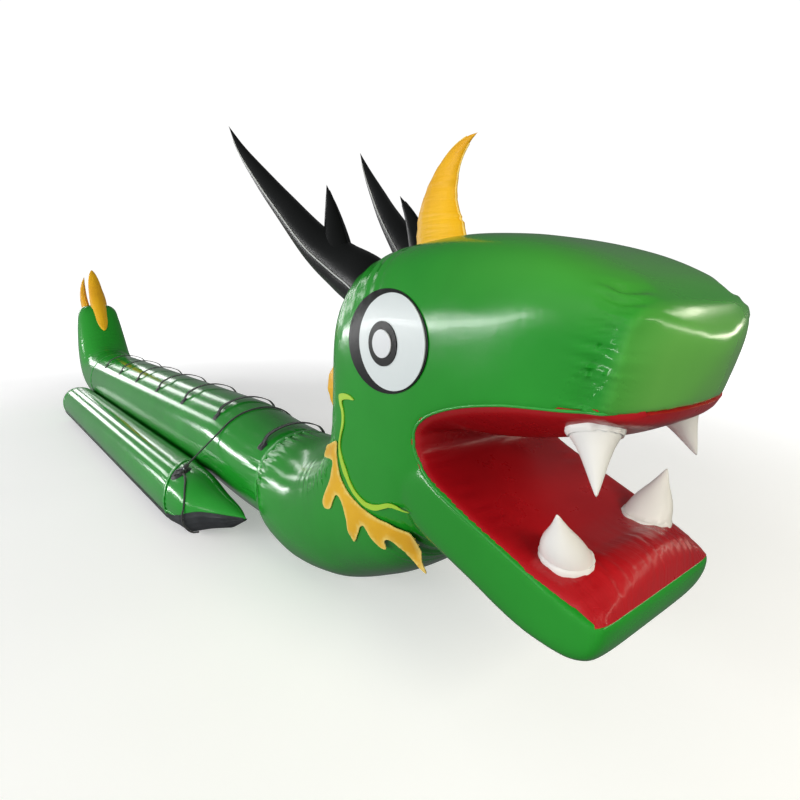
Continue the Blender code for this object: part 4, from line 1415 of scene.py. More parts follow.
@dataclass
class Applique:
    """Cut cloth welded on the side of the head and neck: eyes, collar and trim."""

    head: Piece
    layer_thickness: float = 0.0035
    cell: float = 0.022
    start_y: float = 0.62
    # How wide a hollow the cloth bridges, and where its points hang free
    bridged: float = 0.045
    hanging_x: float = 2.86
    hanging_y: float = 0.29

    def lay(self, name: str, outline: Points, layer: int, finish: Finish, node: str,
            flutter: float = 0.0) -> None:
        """Press a cut shape on both sides of the head.

        Args:
            name: the piece's name, without its side.
            outline: array of x and z.
            layer: how many layers lie under it.
            finish: what it is made of.
            node: the model's node that it stands for, without its side.
            flutter: how far its free edge stands off.
        """
        piece = cut_out(name, outline, self.start_y)
        bpy.ops.object.mode_set(mode="EDIT")
        low, high = outline.min(axis=0), outline.max(axis=0)
        for axis, direction in enumerate((Vector((1.0, 0.0, 0.0)), Vector((0.0, 0.0, 1.0)))):
            for place in np.arange(low[axis] + self.cell, high[axis], self.cell):
                bpy.ops.mesh.select_all(action="SELECT")
                bpy.ops.mesh.bisect(plane_co=direction * place, plane_no=direction)
        bpy.ops.mesh.select_all(action="SELECT")
        bpy.ops.mesh.quads_convert_to_tris()
        bpy.ops.mesh.normals_make_consistent(inside=False)
        bpy.ops.object.mode_set(mode="OBJECT")
        apply_modifier(piece, "SHRINKWRAP", target=self.head, wrap_method="PROJECT",
                       use_project_y=True, use_project_z=False, use_positive_direction=False,
                       use_negative_direction=True, offset=0.0008 + layer * self.layer_thickness)
        if flutter:
            self.bridge(piece)
        self.face_outward(piece)
        if flutter:
            places = vertices(piece)
            wave = 0.5 + 0.5 * Ripple(0.11, 61)(places[:, 0] * 1.3 - places[:, 2])
            push(piece, flutter * wave)
            # A paler colour along the cut outline: pale edges of the cloth
            gaps = np.hypot(places[:, 0:1] - outline[None, :, 0], places[:, 2:3] - outline[None, :, 1])
            mark(piece, PAINTED_LIGHT_AND_PALE_EDGES, 0.7 * bell(gaps.min(axis=1), 0.006))
        apply_modifier(piece, "SOLIDIFY", thickness=self.layer_thickness, offset=1.0)
        dress_pair(piece, finish, node, angle=40.0)

    def bridge(self, piece: Piece) -> None:
        """Stretch a cloth straight over hollows, so that its points hang free of the skin.

        Args:
            piece: the port piece, already pressed on the skin.
        """
        tree = rays(self.head)
        places = vertices(piece)
        free = (places[:, 1] > self.start_y - 0.02) | (places[:, 0] > self.hanging_x)
        reach = np.where(free, self.hanging_y, places[:, 1])
        for index, (x, _, z) in enumerate(places):
            for step in full_turn(9)[:-1]:
                start = Vector((x + self.bridged * math.cos(step), 1.0, z + self.bridged * math.sin(step)))
                hit = tree.ray_cast(start, TO_STARBOARD)[0]
                if hit and hit.y > 0.0:
                    reach[index] = max(reach[index], hit.y)
        low = np.where(free, 1.0, 0.8 * np.clip((places[:, 0] - 2.72) / 0.10, 0.0, 1.0))
        places[:, 1] += (reach - places[:, 1]) * low
        put(piece, places)
        apply_modifier(piece, "SMOOTH", factor=0.5, iterations=3, use_x=False, use_z=False)

    @staticmethod
    def face_outward(piece: Piece) -> None:
        """Turn an open port piece so that its faces look to port."""
        if np.mean([face.normal.y for face in piece.data.polygons]) < 0.0:
            piece.data.flip_normals()

    @staticmethod
    def oval(x: float, z: float, half_x: float, half_z: float) -> Points:
        """An oval outline."""
        angles = full_turn(97)[:-1]
        return np.column_stack([x + half_x * np.cos(angles), z + half_z * np.sin(angles)])

    def build(self) -> None:
        """Lay the eyes, the flame collar and the trim."""
        self.lay("eye_rim", self.oval(2.932, 1.215, 0.202, 0.162), 0, BLACK, "eye_black")
        self.lay("eye_ball", self.oval(2.964, 1.215, 0.162, 0.149), 1, WHITE_FLAT, "eye_white")
        self.lay("eye_pupil_rim", self.oval(2.931, 1.209, 0.072, 0.070), 2, BLACK, "pupil_ring")
        self.lay("eye_pupil", self.oval(2.931, 1.209, 0.047, 0.044), 3, GREY, "pupil")
        self.lay("flame_collar", closed_curve(np.array(COLLAR), 4), 0, GOLD, "collar", 0.003)
        self.lay("collar_edging", closed_curve(np.array(TRIM), 4), 0, LIME, "collar_trim", 0.001)


@dataclass
class Spikes:
    """Curved blown-up cones: horns, their spikes, the crest and the tail's flame points."""

    seam_turn: int = 11
    ring_spans: int = 48
    row_spacing: float = 0.014
    flange: float = 0.0045

    horn: tuple = (
        (2.710, 0.165, 1.290, 0.128, 0.085), (2.630, 0.185, 1.387, 0.112, 0.078),
        (2.500, 0.205, 1.457, 0.098, 0.066), (2.345, 0.238, 1.555, 0.080, 0.056),
        (2.160, 0.272, 1.715, 0.058, 0.044), (2.030, 0.303, 1.840, 0.042, 0.032),
        (1.905, 0.332, 1.970, 0.022, 0.018), (1.815, 0.350, 2.088, 0.000, 0.000),
    )
    spike: tuple = (
        (2.490, 0.210, 1.440, 0.030, 0.020), (2.474, 0.214, 1.480, 0.072, 0.050),
        (2.455, 0.214, 1.560, 0.062, 0.044), (2.405, 0.202, 1.680, 0.032, 0.024),
        (2.346, 0.185, 1.785, 0.000, 0.000),
    )
    crest: tuple = (
        (2.816, 0.0, 1.430, 0.124, 0.062), (2.809, 0.0, 1.530, 0.118, 0.058),
        (2.796, 0.0, 1.620, 0.102, 0.050), (2.806, 0.0, 1.700, 0.074, 0.040),
        (2.838, 0.0, 1.772, 0.050, 0.028), (2.880, 0.0, 1.824, 0.030, 0.016),
        (2.930, 0.0, 1.858, 0.012, 0.008), (2.972, 0.0, 1.872, 0.000, 0.000),
    )
    flame: tuple = (
        (-3.560, 0.085, 1.120, 0.080, 0.046), (-3.600, 0.098, 1.220, 0.076, 0.044),
        (-3.652, 0.103, 1.320, 0.068, 0.040), (-3.700, 0.096, 1.420, 0.052, 0.033),
        (-3.738, 0.080, 1.520, 0.030, 0.020), (-3.769, 0.053, 1.610, 0.000, 0.000),
    )

    @staticmethod
    def in_middle(table: tuple) -> bool:
        """Whether a cone stands in the boat's middle plane, with no twin."""
        return table[0][1] == 0.0

    def rings(self, table: tuple) -> tuple[Points, Points]:
        """Rings of one cone on the port side.

        Args:
            table: rows of x, y, z, half width in the curve's plane and across it.

        Returns:
            The rings and their middles.
        """
        rows = np.array(table, dtype=float)
        count = int(travel(rows[:, :3])[-1] / self.row_spacing)
        line = open_curve(rows, max(count // (len(rows) - 1), 4))
        centres = line[:, :3]
        tangents = unit(np.gradient(centres, axis=0))
        sideways = unit(np.array([0.0, 1.0, 0.0]) - tangents * tangents[:, 1:2])
        rings = []
        for centre, across, up, row in zip(centres, sideways, np.cross(tangents, sideways), line):
            shape = section(max(row[4], 0.0), max(row[3], 0.0), 2.0, self.ring_spans)
            rings.append(centre + shape[:, :1] * across + shape[:, 1:] * up)
        return np.array(rings), centres

    def cone(self, name: str, table: tuple, finish: Finish, node: str, folds: float, seed: int) -> None:
        """Make one cone, and its mirror image where it doesn't stand in the middle plane.

        Args:
            name: the piece's name, without its side.
            table: its rows.
            finish: what it is made of.
            node: the model's node that it stands for, without its side.
            folds: how deep its folds are.
            seed: what makes its folds differ from the others.
        """
        rings, centres = self.rings(table)
        girth = full_turn(rings.shape[1])
        size = np.linalg.norm(rings[:, 0] - centres, axis=1)[:, None]
        wave = Ripple(0.050, seed)(travel(centres))[:, None] * np.abs(np.sin(girth))[None, :] ** 6
        depth = folds * wave * np.clip(size / 0.05, 0.0, 1.0)
        rings = rings + (rings - centres[:, None]) / np.maximum(size, 0.02)[:, :, None] * depth[:, :, None]
        piece = skin(name, capped(rings, last=False))
        if not self.in_middle(table):
            dress_pair(piece, finish, node, angle=60.0)
            return
        height = vertices(piece)[:, 2]
        mark(piece, Grain.VARY_Z.label, 0.45 + 0.25 * np.sin(height * 9.0))
        mark(piece, Grain.VARY_X.label, np.full(len(height), 0.25))
        dress(piece, finish, node, angle=60.0)

    def seam(self, name: str, table: tuple, finish: Finish, place: int) -> None:
        """Lay the weld flange along one panel edge of a cone.

        Args:
            name: the piece's name, without its side.
            table: the cone's rows.
            finish: what it is made of.
            place: which point of the rings it runs through.
        """
        rings, centres = self.rings(table)
        spokes = rings[:, place] - centres
        keep = np.linalg.norm(spokes, axis=1) > 0.010
        profile = np.array([(-0.0022, -0.006), (-0.0018, self.flange * 0.8), (0.0, self.flange),
                            (0.0018, self.flange * 0.8), (0.0022, -0.006), (-0.0022, -0.006)])
        piece = skin(name, capped(sweep(rings[:, place][keep], unit(spokes)[keep], profile)))
        if self.in_middle(table):
            dress(piece, finish, angle=40.0)
        else:
            dress_pair(piece, finish, angle=40.0)

    def build(self) -> None:
        """Make horns, spikes, crest and flame points with their seams."""
        self.cone("horn_skin", self.horn, BLACK, "horn", 0.0, 71)
        self.cone("horn_spike_skin", self.spike, BLACK, "horn_spike", 0.0010, 72)
        self.cone("crest_skin", self.crest, YELLOW, "crest", 0.0030, 73)
        self.cone("tail_flame_skin", self.flame, YELLOW, "tail_flame", 0.0010, 74)
        lower, upper = self.ring_spans * 3 // 4, self.ring_spans // 4
        # These two flanges are painted pale grey: a painted highlight line along each horn
        self.seam("horn_seam_outer", self.horn, PAINTED_HIGHLIGHT_SEAM, upper - self.seam_turn)
        self.seam("horn_seam_inner", self.horn, PAINTED_HIGHLIGHT_SEAM, upper + self.seam_turn)
        self.seam("horn_spike_seam_lower", self.spike, BLACK, lower)
        self.seam("horn_spike_seam_upper", self.spike, BLACK, upper)
        for place, edge in ((upper, "upper"), (lower, "lower")):
            self.seam(f"crest_seam_{edge}", self.crest, PALE_YELLOW, place)
            self.seam(f"tail_flame_seam_{edge}", self.flame, PALE_YELLOW, place)


@dataclass
class Fins:
    """Blown-up flat fins in the middle plane: on the nape and on the tail."""

    per_span: int = 8

    mane: tuple = (
        (2.520, 1.150), (2.330, 1.150), (2.180, 1.115), (2.100, 1.055), (2.027, 0.962), (2.037, 0.869),
        (2.116, 0.802), (2.240, 0.830), (2.400, 0.840), (2.520, 0.860),
    )
    tail: tuple = (
        (-3.142, 0.950), (-3.168, 1.030), (-3.212, 1.130), (-3.270, 1.245), (-3.336, 1.360),
        (-3.424, 1.520), (-3.545, 1.685), (-3.562, 1.550), (-3.556, 1.420), (-3.530, 1.300),
        (-3.460, 1.150), (-3.280, 1.000),
    )

    def fin(self, name: str, outline: tuple, half_thickness: float, node: str, seed: int) -> None:
        """Make one fin.

        Args:
            name: the piece's name.
            outline: its points of x and z.
            half_thickness: how thick each side is blown out.
            node: the model's node that it stands for.
            seed: what makes its folds differ from the other's.
        """
        line = closed_curve(np.array(outline), self.per_span)
        line = np.vstack([line, line[:1]])
        middle = np.array(outline).mean(axis=0)
        wave = Ripple(0.060, seed)(travel(line))
        wave[-1] = wave[0]
        shares = np.sin(np.linspace(0.0, math.pi / 2.0, 16))
        rows = []
        for side in (-1.0, 1.0):
            for share in shares if side < 0.0 else shares[::-1]:
                flat = middle + (line - middle) * share
                swell = half_thickness * (1.0 - share**2.4) ** 0.62
                fold = 0.0035 * bell(1.0 - share, 0.22) * wave * min(1.0, swell / 0.006)
                y = side * (swell + fold + 0.0012)
                rows.append(np.column_stack([flat[:, 0], y, flat[:, 1]]))
        fin = skin(name, rows)
        for grain, amount in ((Grain.VARY_X, 0.20), (Grain.VARY_Z, 0.40)):
            mark(fin, grain.label, np.full(len(fin.data.vertices), amount))
        dress(fin, YELLOW, node, angle=70.0)

    def build(self) -> None:
        """Make both fins."""
        self.fin("mane_fin_skin", self.mane, 0.038, "mane_fin", 81)
        self.fin("tail_fin_skin", self.tail, 0.080, "tail_fin", 83)


@dataclass
class Outriggers:
    """The two side floats with their mitred noses, weld seams and rubbing strakes."""

    radius: float = 0.176
    centre_y: float = 0.40252
    centre_z: float = 0.18441
    strake_thickness: float = 0.010
    groove_depth: float = 0.0032
    ring_spans: int = 72
    row_spacing: float = 0.024
    # Columns: row of the table, degrees round the float at the strake's outer and inner edge
    strake_rows: tuple = ((4.0, 337.5, 247.5), (6.0, 337.5, 247.5), (7.0, 352.5, 247.5), (8.0, 368.0, 232.0),
                          (9.0, 378.0, 212.0), (9.9, 380.0, 205.0))

    def table(self) -> Points:
        """Rows of x, centre y and z, half width and height, and forward slant of the outer side."""
        r, y, z = self.radius, self.centre_y, self.centre_z
        return np.array([
            (-2.842, y, z, 0.0, 0.0, 0.0),
            (-2.840, y, z, 0.50 * r, 0.50 * r, 0.0),
            (-2.805, y, z, 0.79 * r, 0.79 * r, 0.0),
            (-2.720, y, z, 0.94 * r, 0.94 * r, 0.0),
            (-2.600, y, z, r, r, 0.0),
            (-1.500, y, z, r, r, 0.4),
            (0.950, y, z, r, r, 1.0),
            (1.220, 0.398, 0.186, 0.148, 0.167, 0.6),
            (1.410, 0.380, 0.196, 0.104, 0.106, 0.3),
            (1.590, 0.352, 0.204, 0.056, 0.058, 0.1),
            (1.699, 0.324, 0.214, 0.0, 0.0, 0.0),
        ])

    def ring(self, row: Points, angles: np.ndarray, grow: float = 0.0) -> Points:
        """One ring of the port float.

        Args:
            row: a row of the table.
            angles: places round the ring, from the outer side up.
            grow: how far it stands off the float.

        Returns:
            Points of x, y, z.
        """
        x, y, z, half_y, half_z, slant = row
        out = (half_y * HALF_FACET + grow) * np.cos(angles)
        up = (half_z * HALF_FACET + grow) * np.sin(angles)
        return np.column_stack([x + slant * out, y + out, z + up])

    def rows_between(self, first: float, last: float, count: int) -> Points:
        """Rows between rows of the table, which run straight from one to the next.

        Args:
            first: the row number at which they start.
            last: the row number at which they end.
            count: how many they are.

        Returns:
            Rows of the same columns.
        """
        table = self.table()
        at = np.linspace(first, last, count)
        index = np.arange(len(table))
        return np.column_stack([np.interp(at, index, table[:, k]) for k in range(6)])

    def build(self) -> None:
        """Make both floats with all that is welded on them."""
        table = self.table()
        straight = refine(table[:7], self.row_spacing, slice(0, 1))
        nose = open_curve(table[6:], 10)
        nose[:, 3:5] = nose[:, 3:5].clip(0.0)
        nose[-1] = table[-1]
        angles = full_turn(self.ring_spans + 1)
        rows = np.vstack([straight, nose[1:]])
        piece = skin("float", [self.ring(row, angles) for row in rows])
        self.pucker(piece)
        dress_pair(piece, GREEN_TUBE, "outrigger", angle=60.0)
        self.build_seams()
        self.build_strakes()

    def pucker(self, piece: Piece) -> None:
        """Gather the cloth at the mitred seam and at the stern.

        Args:
            piece: the port float.
        """
        places = vertices(piece)
        out = places[:, 1] - self.centre_y
        seam = places[:, 0] - (0.950 + out)
        near = bell(seam, 0.07)
        stern = bell(places[:, 0] + 2.80, 0.10)
        tip = np.clip((places[:, 0] - 1.25) / 0.35, 0.0, 1.0)
        angle = np.arctan2(places[:, 2] - self.centre_z, out) * self.radius
        folds = 0.0028 * near + 0.0030 * stern + 0.0020 * tip * (1.0 - tip)
        push(piece, (folds * Ripple(0.040, 91)(angle) - 0.0022 * near) * (places[:, 0] > -2.83))
        mark(piece, Grain.ALONG_X.label, bell(seam, 0.12) + stern + 0.4 * tip)

    def build_seams(self) -> None:
        """Lay the weld tapes round the mitre, along the nose's edge and round the stern."""
        angles = full_turn(self.ring_spans + 1)
        outward = np.column_stack([np.zeros_like(angles), np.cos(angles), np.sin(angles)])
        table = self.table()
        for name, row in (("float_mitre_seam", table[6]), ("float_stern_seam", table[4])):
            tape = sweep(self.ring(row, angles), outward, tape_profile(0.026, 0.0022))
            dress_pair(skin(name, tape), GREEN_SEAM)
        nose = open_curve(table[6:], 10)[:-12]
        edge = math.radians(-14.0)
        path = np.array([self.ring(row, np.array([edge]))[0] for row in nose])
        outward = unit(np.tile((0.25, math.cos(edge), math.sin(edge)), (len(path), 1)))
        tape = capped(sweep(path, outward, tape_profile(0.016, 0.0030)))
        dress_pair(skin("float_nose_seam", tape), GREEN_SEAM)

    def build_strakes(self) -> None:
        """Make the ribbed black strakes under the floats, higher on the outside at the nose."""
        count = 40
        rows = []
        for low, high in zip(self.strake_rows, self.strake_rows[1:]):
            steps = max(int((high[0] - low[0]) * 12), 8)
            for share in np.linspace(0.0, 1.0, steps, endpoint=high is self.strake_rows[-1]):
                row = self.rows_between(low[0], high[0], 101)[int(round(share * 100))]
                end = math.radians(low[1] + (high[1] - low[1]) * share)
                start = math.radians(low[2] + (high[2] - low[2]) * share)
                angles = np.linspace(start, end, count)
                outer = self.ring(row, angles, self.strake_thickness * HALF_FACET)
                place = (angles - start) / (end - start)
                ribs = sum(bell(place - spot, 0.022) for spot in (0.62, 0.76, 0.90))
                inward = np.column_stack([np.zeros(count), -np.cos(angles), -np.sin(angles)])
                outer = outer + inward * (self.groove_depth * (1.0 - ribs) * (place > 0.5))[:, None]
                inner = self.ring(row, angles[::-1], -0.006)
                rows.append(np.vstack([outer, inner, outer[:1]]))
        dress_pair(skin("rubbing_strake", capped(np.array(rows))), RUBBER, "strake", angle=40.0)


@dataclass
class Handles:
    """Seven grab straps over the seat tube, each on two welded feet."""

    seat: SeatTube
    last_x: float = 1.650
    pitch: float = 0.632
    count: int = 7
    width: float = 0.030
    thickness: float = 0.006
    rise: float = 0.020
    foot_length: float = 0.056
    foot_width: float = 0.058

    def seat_point(self, x: np.ndarray, angle: np.ndarray, grow: np.ndarray) -> Points:
        """Points off the seat tube's surface.

        Args:
            x: places along the tube.
            angle: places round it, from port over the top.
            grow: how far they stand off.

        Returns:
            Points of x, y, z.
        """
        table = self.seat.seat_table()
        top = np.interp(x, table[:, 0], table[:, 1])
        bottom = np.interp(x, table[:, 0], table[:, 3])
        half = np.interp(x, table[:, 0], table[:, 4])
        y = (half + grow) * np.cos(angle)
        z = (top + bottom) / 2.0 + ((top - bottom) / 2.0 + grow) * np.sin(angle)
        return np.column_stack([x, y, z])

    def strap(self, index: int, x: float) -> None:
        """Make one strap, with a bound edge on both sides.

        Args:
            index: its number, from the stern.
            x: its middle.
        """
        share = np.linspace(-1.0, 1.0, 61)
        angles = np.radians(90.0 + 45.0 * share)
        rise = self.rise * np.clip((0.90 - np.abs(share)) / 0.22, 0.0, 1.0) ** 0.7
        path = self.seat_point(np.full_like(share, x), angles, rise)
        outward = np.column_stack([np.zeros_like(share), np.cos(angles), np.sin(angles)])
        edge = np.array([(1.0, 0.0), (1.0, 0.8), (0.90, 1.0), (0.74, 0.96), (0.66, 0.62)])
        port = edge * (self.width / 2.0, self.thickness)
        stb = port * (-1.0, 1.0)
        profile = np.vstack([stb, (0.0, self.thickness * 0.72), port[::-1], (0.0, -0.0002), stb[:1]])
        strap = skin(f"grab_strap_{index}", capped(sweep(path, outward, profile)))
        dress(strap, WEBBING, f"handle_{index}", angle=35.0)

    def foot(self, index: int, x: float, side: float, side_name: str) -> None:
        """Make the welded patch under one end of a strap.

        Args:
            index: the strap's number.
            x: the strap's middle.
            side: 1 to port, -1 to starboard.
            side_name: the side's name.
        """
        rings = []
        for share, grow in ((0.0, 0.0034), (0.7, 0.0034), (0.93, 0.0030), (1.0, 0.0012), (1.0, SUNK),
                            (0.0, SUNK)):
            shape = section(self.foot_width / 2.0 * share, self.foot_length / 2.0 * share, 4.0, 32)
            angle = math.radians(47.0) + shape[:, 1] / self.seat.radius
            if side < 0.0:
                angle = math.pi - angle
            rings.append(self.seat_point(x + shape[:, 0], angle, np.full(len(shape), grow)))
        dress(skin(f"strap_foot_{index}_{side_name}", rings), RUBBER, angle=40.0)

    def build(self) -> None:
        """Make every strap with its feet."""
        for index in range(self.count):
            x = self.last_x - self.pitch * (self.count - 1 - index)
            self.strap(index + 1, x)
            for side_name, side in SIDES:
                self.foot(index + 1, x, side, side_name)


@dataclass
class Rigging:
    """Ring patches, steel rings, the taut ropes between them, and the inflation valves."""

    floats: Outriggers
    handles: Handles
    rope_radius: float = 0.005
    lay_length: float = 0.045
    patch_radius: float = 0.062
    patch_thickness: float = 0.005
    ring_radius: float = 0.026
    wire_radius: float = 0.003
    # Gaps between a ring and its patch, and between a ring and a rope's end
    ring_gap: float = 0.0008
    end_gap: float = 0.0016
    # The port patch: its middle, and directions forward, up its slope and away from the float
    centre: Place = (1.1049, 0.4642, 0.3445)
    forward: Place = (0.9975, -0.0642, -0.0283)
    upward: Place = (-0.0497, -0.9310, 0.3616)
    outward: Place = (0.0496, 0.3593, 0.9319)
    # Columns: degrees from port over the seat tube, x
    over_tube: tuple = ((90.0, 1.234), (82.5, 1.232), (75.0, 1.228), (67.5, 1.221), (60.0, 1.214),
                        (52.5, 1.207), (45.8, 1.200))
    # Columns: row of the float's table, degrees round it, how far the rope's middle stands off
    down_nose: tuple = (
        (6.60, 65.7, 0.0111), (6.72, 64.5, 0.0100), (6.90, 57.0, 0.0074), (7.05, 46.5, 0.0065),
        (7.20, 33.0, 0.0065), (7.28, 19.5, 0.0068), (7.29, 7.5, 0.0080), (7.27, -1.5, 0.0140),
        (7.24, -12.0, 0.0180), (7.20, -25.5, 0.0180), (7.17, -42.0, 0.0180), (7.13, -60.0, 0.0180),
        (7.10, -76.5, 0.0170),
    )
    # Columns: how far out, radius
    valve_profile: tuple = ((-0.004, 0.0), (-0.004, 0.034), (0.003, 0.034), (0.004, 0.032), (0.0045, 0.025),
                            (0.006, 0.0235), (0.014, 0.0225), (0.016, 0.0205), (0.016, 0.010),
                            (0.0135, 0.008), (0.0135, 0.0))

    def axes(self) -> Points:
        """The port patch's centre and its three directions, as rows."""
        return np.array([self.centre, self.forward, self.upward, self.outward])

    def patch(self) -> None:
        """Make the round patches, pressed on the floats, each with a webbing keeper for its ring."""
        centre, forward, upward, outward = self.axes()
        tree = rays(bpy.data.objects["float_port"])
        t = self.patch_thickness
        rows = []
        for share, lift in ((0.0, t), (0.35, t), (0.70, t), (0.74, t * 0.55), (0.96, t * 0.50),
                            (1.0, t * 0.25), (1.0, SUNK), (0.5, SUNK), (0.0, SUNK)):
            ring = []
            for point in hoop(centre, share * self.patch_radius, full_turn(65), forward, upward):
                hit = tree.ray_cast(Vector(point + outward * 0.12), Vector(-outward))[0]
                ring.append(np.array(hit if hit else point) + outward * lift)
            rows.append(ring)
        dress_pair(skin("ring_patch", rows), RUBBER, "patch", angle=40.0)
        along = np.linspace(-0.026, 0.026, 27)
        lift = t + 0.0005 + 0.0072 * bell(along, 0.0065)
        path = centre - upward * self.ring_radius + along[:, None] * upward + lift[:, None] * outward
        profile = np.array([(-0.012, -0.0006), (-0.012, 0.0010), (-0.010, 0.0014), (0.010, 0.0014),
                            (0.012, 0.0010), (0.012, -0.0006), (-0.012, -0.0006)])
        keeper = capped(sweep(path, np.tile(outward, (len(path), 1)), profile))
        dress_pair(skin("ring_keeper", keeper), WEBBING, angle=40.0)

    def ring(self) -> None:
        """Make the steel rings, each with the swelling of its butt weld."""
        centre, forward, upward, outward = self.axes()
        hub = centre + outward * (self.patch_thickness + self.wire_radius + self.ring_gap)
        profile = circle_profile(1.0, 16)
        rows = []
        for angle in full_turn(65):
            spoke = forward * math.cos(angle) + upward * math.sin(angle)
            away = abs((angle - 0.6 + math.pi) % (math.tau) - math.pi)
            wire = self.wire_radius * (1.0 + 0.16 * math.exp(-(away / 0.10) ** 2))
            rows.append(hub + spoke * self.ring_radius
                        + (profile[:, :1] * spoke + profile[:, 1:] * outward) * wire)
        dress_pair(skin("steel_ring", rows), STEEL, "ring")

    def rope(self, name: str, points: Points) -> Piece:
        """Make one laid rope with the twist of its strands.

        Args:
            name: the piece's name.
            points: its middle line.

        Returns:
            The rope, not yet dressed.
        """
        length = travel(points)
        at = np.arange(0.0, length[-1], 0.0030)
        path = np.column_stack([np.interp(at, length, points[:, k]) for k in range(3)])
        tangents, normals = frames(path)
        across = np.cross(tangents, normals)
        turn = full_turn(19)
        twist = at[:, None] * math.tau / self.lay_length
        radius = self.rope_radius * (0.90 + 0.10 * np.abs(np.sin((turn[None, :] * 3.0 + twist) * 0.5)))
        rows = (path[:, None] + (radius * np.cos(turn))[:, :, None] * normals[:, None]
                + (radius * np.sin(turn))[:, :, None] * across[:, None])
        return skin(name, capped(rows))

    def knot(self, name: str, end: Points, along: Points) -> None:
        """Wrap three turns of rope where a rope is tied to a ring.

        Args:
            name: the piece's name, without its side.
            end: where the rope meets the ring.
            along: the rope's unit direction away from the ring.
        """
        side = unit(np.cross(along, self.outward))
        share = np.linspace(0.0, 1.0, 90)
        middles = end + np.outer(0.004 + 0.0231 * share, along)
        points = hoop(middles, 0.0085, 3.0 * math.tau * share, side, np.cross(side, along))
        dress_pair(self.rope(name, points), ROPE, angle=70.0)

    def ropes(self) -> None:
        """Tie the lashing over the seat tube and the line down each float's nose."""
        centre, _, upward, outward = self.axes()
        rows = np.array(self.over_tube)
        top = self.handles.seat_point(rows[:, 1], np.radians(rows[:, 0]), np.full(len(rows), 0.0062))
        lift = self.patch_thickness + self.wire_radius + self.ring_gap
        wire = centre + outward * lift + upward * self.ring_radius
        away = unit(top[-1] - wire)
        end = wire + away * (self.wire_radius + self.end_gap)
        half = np.vstack([open_curve(top, 6), top[-1] + (end - top[-1]) * np.linspace(0.1, 1.0, 12)[:, None]])
        other = half[1:][::-1] * (1.0, -1.0, 1.0)
        dress(self.rope("lashing_rope", np.vstack([other, half])), ROPE, "lashing", angle=70.0)
        self.knot("lashing_knot", end, away)
        line = []
        for row, degrees, stand in self.down_nose:
            place = self.floats.rows_between(row, row, 1)[0]
            line.append(self.floats.ring(place, np.array([math.radians(degrees)]), stand)[0])
        hub = centre + outward * (self.patch_thickness + self.rope_radius + self.ring_gap)
        away = unit(line[0] - hub)
        start = hub + away * (self.ring_radius + self.wire_radius + self.end_gap)
        path = open_curve(np.vstack([[start], line]), 8)
        rope = self.rope("nose_rope_port", path)
        dress(rope, ROPE, "nose_line_port", angle=70.0)
        dress(mirrored(rope, "nose_rope_stb"), ROPE, "nose_line_stb", angle=70.0)
        self.knot("nose_knot", start, away)

    def valve(self, name: str, seat: Place, node: str) -> None:
        """Make one inflation valve facing aft, with finger notches round its cap.

        Args:
            name: the piece's name.
            seat: the middle of its foot.
            node: the model's node that it stands for.
        """
        turn = full_turn(97)
        rows = []
        for out, radius in self.valve_profile:
            notch = 0.0012 * (0.5 + 0.5 * np.cos(turn * 16.0)) * (0.005 < out < 0.0165) * (radius > 0.02)
            r = radius - notch
            rows.append(np.column_stack([np.full_like(turn, seat[0] - out), seat[1] + r * np.cos(turn),
                                         seat[2] + r * np.sin(turn)]))
        dress(skin(name, rows), RUBBER, node, angle=35.0)

    def build(self) -> None:
        """Make everything that is tied or fitted to the tubes."""
        self.patch()
        self.ring()
        self.ropes()
        y, z = self.floats.centre_y, self.floats.centre_z
        self.valve("float_valve_port", (-2.8403, y, z), "valve_port")
        self.valve("float_valve_stb", (-2.8403, -y, z), "valve_stb")
        self.valve("tail_valve", (-3.594, 0.0, 0.620), "valve_tail")


NEUTRAL = (1.0, 1.0, 1.0)
WARM = (1.0, 0.95, 0.78)
# Columns: name, place, target, size, power, seen in reflections, tint
STUDIO_PANELS = (
    ("side_fill", (3.0, -8.6, 3.0), (2.0, 0.0, 0.8), (10.0, 4.0), 560.0, False, NEUTRAL),
    ("port_fill", (0.0, 9.0, 2.6), (0.0, 0.0, 0.8), (10.0, 3.0), 190.0, False, NEUTRAL),
    ("front_fill", (9.2, -0.6, 3.8), (3.6, 0.0, 1.0), (3.0, 3.0), 270.0, False, WARM),
    ("shoulder_strip", (-3.5, -5.5, 1.30), (2.6, 0.0, 1.2), (6.5, 0.34), 150.0, True, NEUTRAL),
    ("nose_strip_low", (7.0, 4.2, 1.85), (3.7, 0.0, 1.2), (6.5, 0.32), 42.0, True, WARM),
    ("nose_strip_high", (6.0, 5.2, 3.6), (3.7, 0.0, 1.2), (3.0, 0.30), 20.0, True, WARM),
)
# Degrees round the seat tube's axis at which a long panel stands behind the stern
STERN_PANELS = (68.0, 101.0, 136.0)


